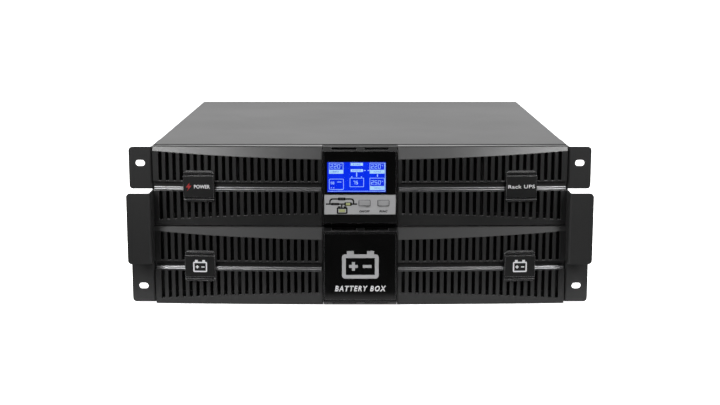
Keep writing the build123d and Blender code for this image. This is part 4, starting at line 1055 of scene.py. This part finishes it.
def floor():
    """A pale floor; beyond the table's reach it is dark to everything except the camera."""
    mesh = bmesh.new()
    bmesh.ops.create_grid(mesh, x_segments=24, y_segments=24, size=FLOOR_HALF)
    data = bpy.data.meshes.new("floor")
    mesh.to_mesh(data)
    mesh.free()
    shader = Shader("pale_floor", 0.9, specular=0.1)
    tone = shader.mixed(shader.noise(3.0), (0.90, 0.90, 0.90), (0.93, 0.93, 0.93))
    outside = shader.place
    steps = (("ABSOLUTE", None), ("SUBTRACT", cad_box[1]), ("MAXIMUM", (0.0, 0.0, 0.0)))
    for operation, other in steps:
        step = shader.add("ShaderNodeVectorMath", operation=operation)
        shader.link(outside, step.inputs[0])
        if other is not None:
            step.inputs[1].default_value = other
        outside = step.outputs["Vector"]
    spread = shader.add("ShaderNodeVectorMath", operation="LENGTH")
    shader.link(outside, spread.inputs[0])
    near = shader.ranged(spread.outputs["Value"], *TABLE_LEVELS, 0.3 * TABLE_REACH, TABLE_REACH)
    seen = shader.add("ShaderNodeLightPath").outputs["Is Camera Ray"]
    bright = shader.add("ShaderNodeMath", operation="MAXIMUM")
    shader.link(near, bright.inputs[0])
    shader.link(seen, bright.inputs[1])
    level = bright.outputs["Value"]
    shader.colour(shader.mixed(level, (0.0, 0.0, 0.0), tone))
    glow = shader.mixed(level, (0.0, 0.0, 0.0), (1.0, 1.0, 1.0))
    shader.put(shader.surface, "Emission Color", glow)
    shader.surface.inputs["Emission Strength"].default_value = 0.8
    data.materials.append(shader.material)
    piece = bpy.data.objects.new("floor", data)
    bpy.context.scene.collection.objects.link(piece)


def world():
    """A white studio: bright behind and above the object, dim where the camera stands."""
    sky = bpy.data.worlds.new("studio")
    bpy.context.scene.world = sky
    sky.use_nodes = True
    tree = sky.node_tree
    tree.nodes.clear()

    def add(kind, **settings):
        node = tree.nodes.new(kind)
        for name, value in settings.items():
            setattr(node, name, value)
        return node

    direction = add("ShaderNodeSeparateXYZ")
    tree.links.new(add("ShaderNodeTexCoord").outputs["Generated"], direction.inputs[0])
    level = add("ShaderNodeMapRange", interpolation_type="SMOOTHSTEP")
    tree.links.new(direction.outputs["Y"], level.inputs["Value"])
    level.inputs["From Min"].default_value = -0.6
    level.inputs["From Max"].default_value = 0.7
    level.inputs["To Min"].default_value = STUDIO_LEVELS[0]
    level.inputs["To Max"].default_value = STUDIO_LEVELS[1]
    light = add("ShaderNodeBackground")
    tree.links.new(level.outputs["Result"], light.inputs["Strength"])
    white = add("ShaderNodeBackground")
    choice = add("ShaderNodeMixShader")
    tree.links.new(add("ShaderNodeLightPath").outputs["Is Camera Ray"], choice.inputs["Fac"])
    tree.links.new(light.outputs[0], choice.inputs[1])
    tree.links.new(white.outputs[0], choice.inputs[2])
    tree.links.new(choice.outputs[0], add("ShaderNodeOutputWorld").inputs["Surface"])


def softbox(name, place, size, radiance):
    """A rectangular lamp of a given brightness, turned towards the object."""
    data = bpy.data.lights.new(name, "AREA")
    data.shape = "RECTANGLE"
    data.size, data.size_y = size
    data.energy = radiance * pi * size[0] * size[1]
    lamp = bpy.data.objects.new(name, data)
    bpy.context.scene.collection.objects.link(lamp)
    lamp.location = place
    lamp.rotation_euler = (Vector(AIM) - Vector(place)).to_track_quat("-Z", "Y").to_euler()
    return lamp


def flag(lamp, nodes):
    """Keeps a lamp off some CAD nodes."""
    shaded = bpy.data.collections.new(lamp.name + "_flag")
    for node in nodes:
        shaded.objects.link(NODES[node])
    for entry in shaded.collection_objects:
        entry.light_linking.link_state = "EXCLUDE"
    lamp.light_linking.receiver_collection = shaded


def lights():
    """A large box overhead, two small keys, and two boxes in front that are seen only as shine."""
    softbox("top_box", (0.0, -0.15, 1.9), (1.8, 1.0), 4.5)
    softbox("key_left", (-0.75, -1.05, 1.35), (0.2, 0.2), 145.0)
    softbox("key_right", (0.75, -1.05, 1.35), (0.2, 0.2), 95.0)
    for side in (-1, 1):
        lamp = softbox(f"front_box_{side}", (side * 0.84, -1.40, 0.86), (0.62, 0.55), 27.0)
        lamp.visible_diffuse = False
        flag(lamp, ("ups_cover", "battery_cover"))


def camera():
    data = bpy.data.cameras.new("camera")
    data.lens = CAMERA_LENS
    data.sensor_width = 36.0
    eye = bpy.data.objects.new("camera", data)
    bpy.context.scene.collection.objects.link(eye)
    eye.location = CAMERA_PLACE
    eye.rotation_euler = (radians(90 - CAMERA_DOWN), 0.0, 0.0)
    bpy.context.scene.camera = eye
    bpy.context.scene.view_settings.view_transform = "Standard"


materials = dress_cad_nodes()
window(materials)
display_picture()
mimic_diagram(materials)
seam_shade()
battery_panel_print()
badge_print()
rear_print()
floor()
world()
lights()
camera()
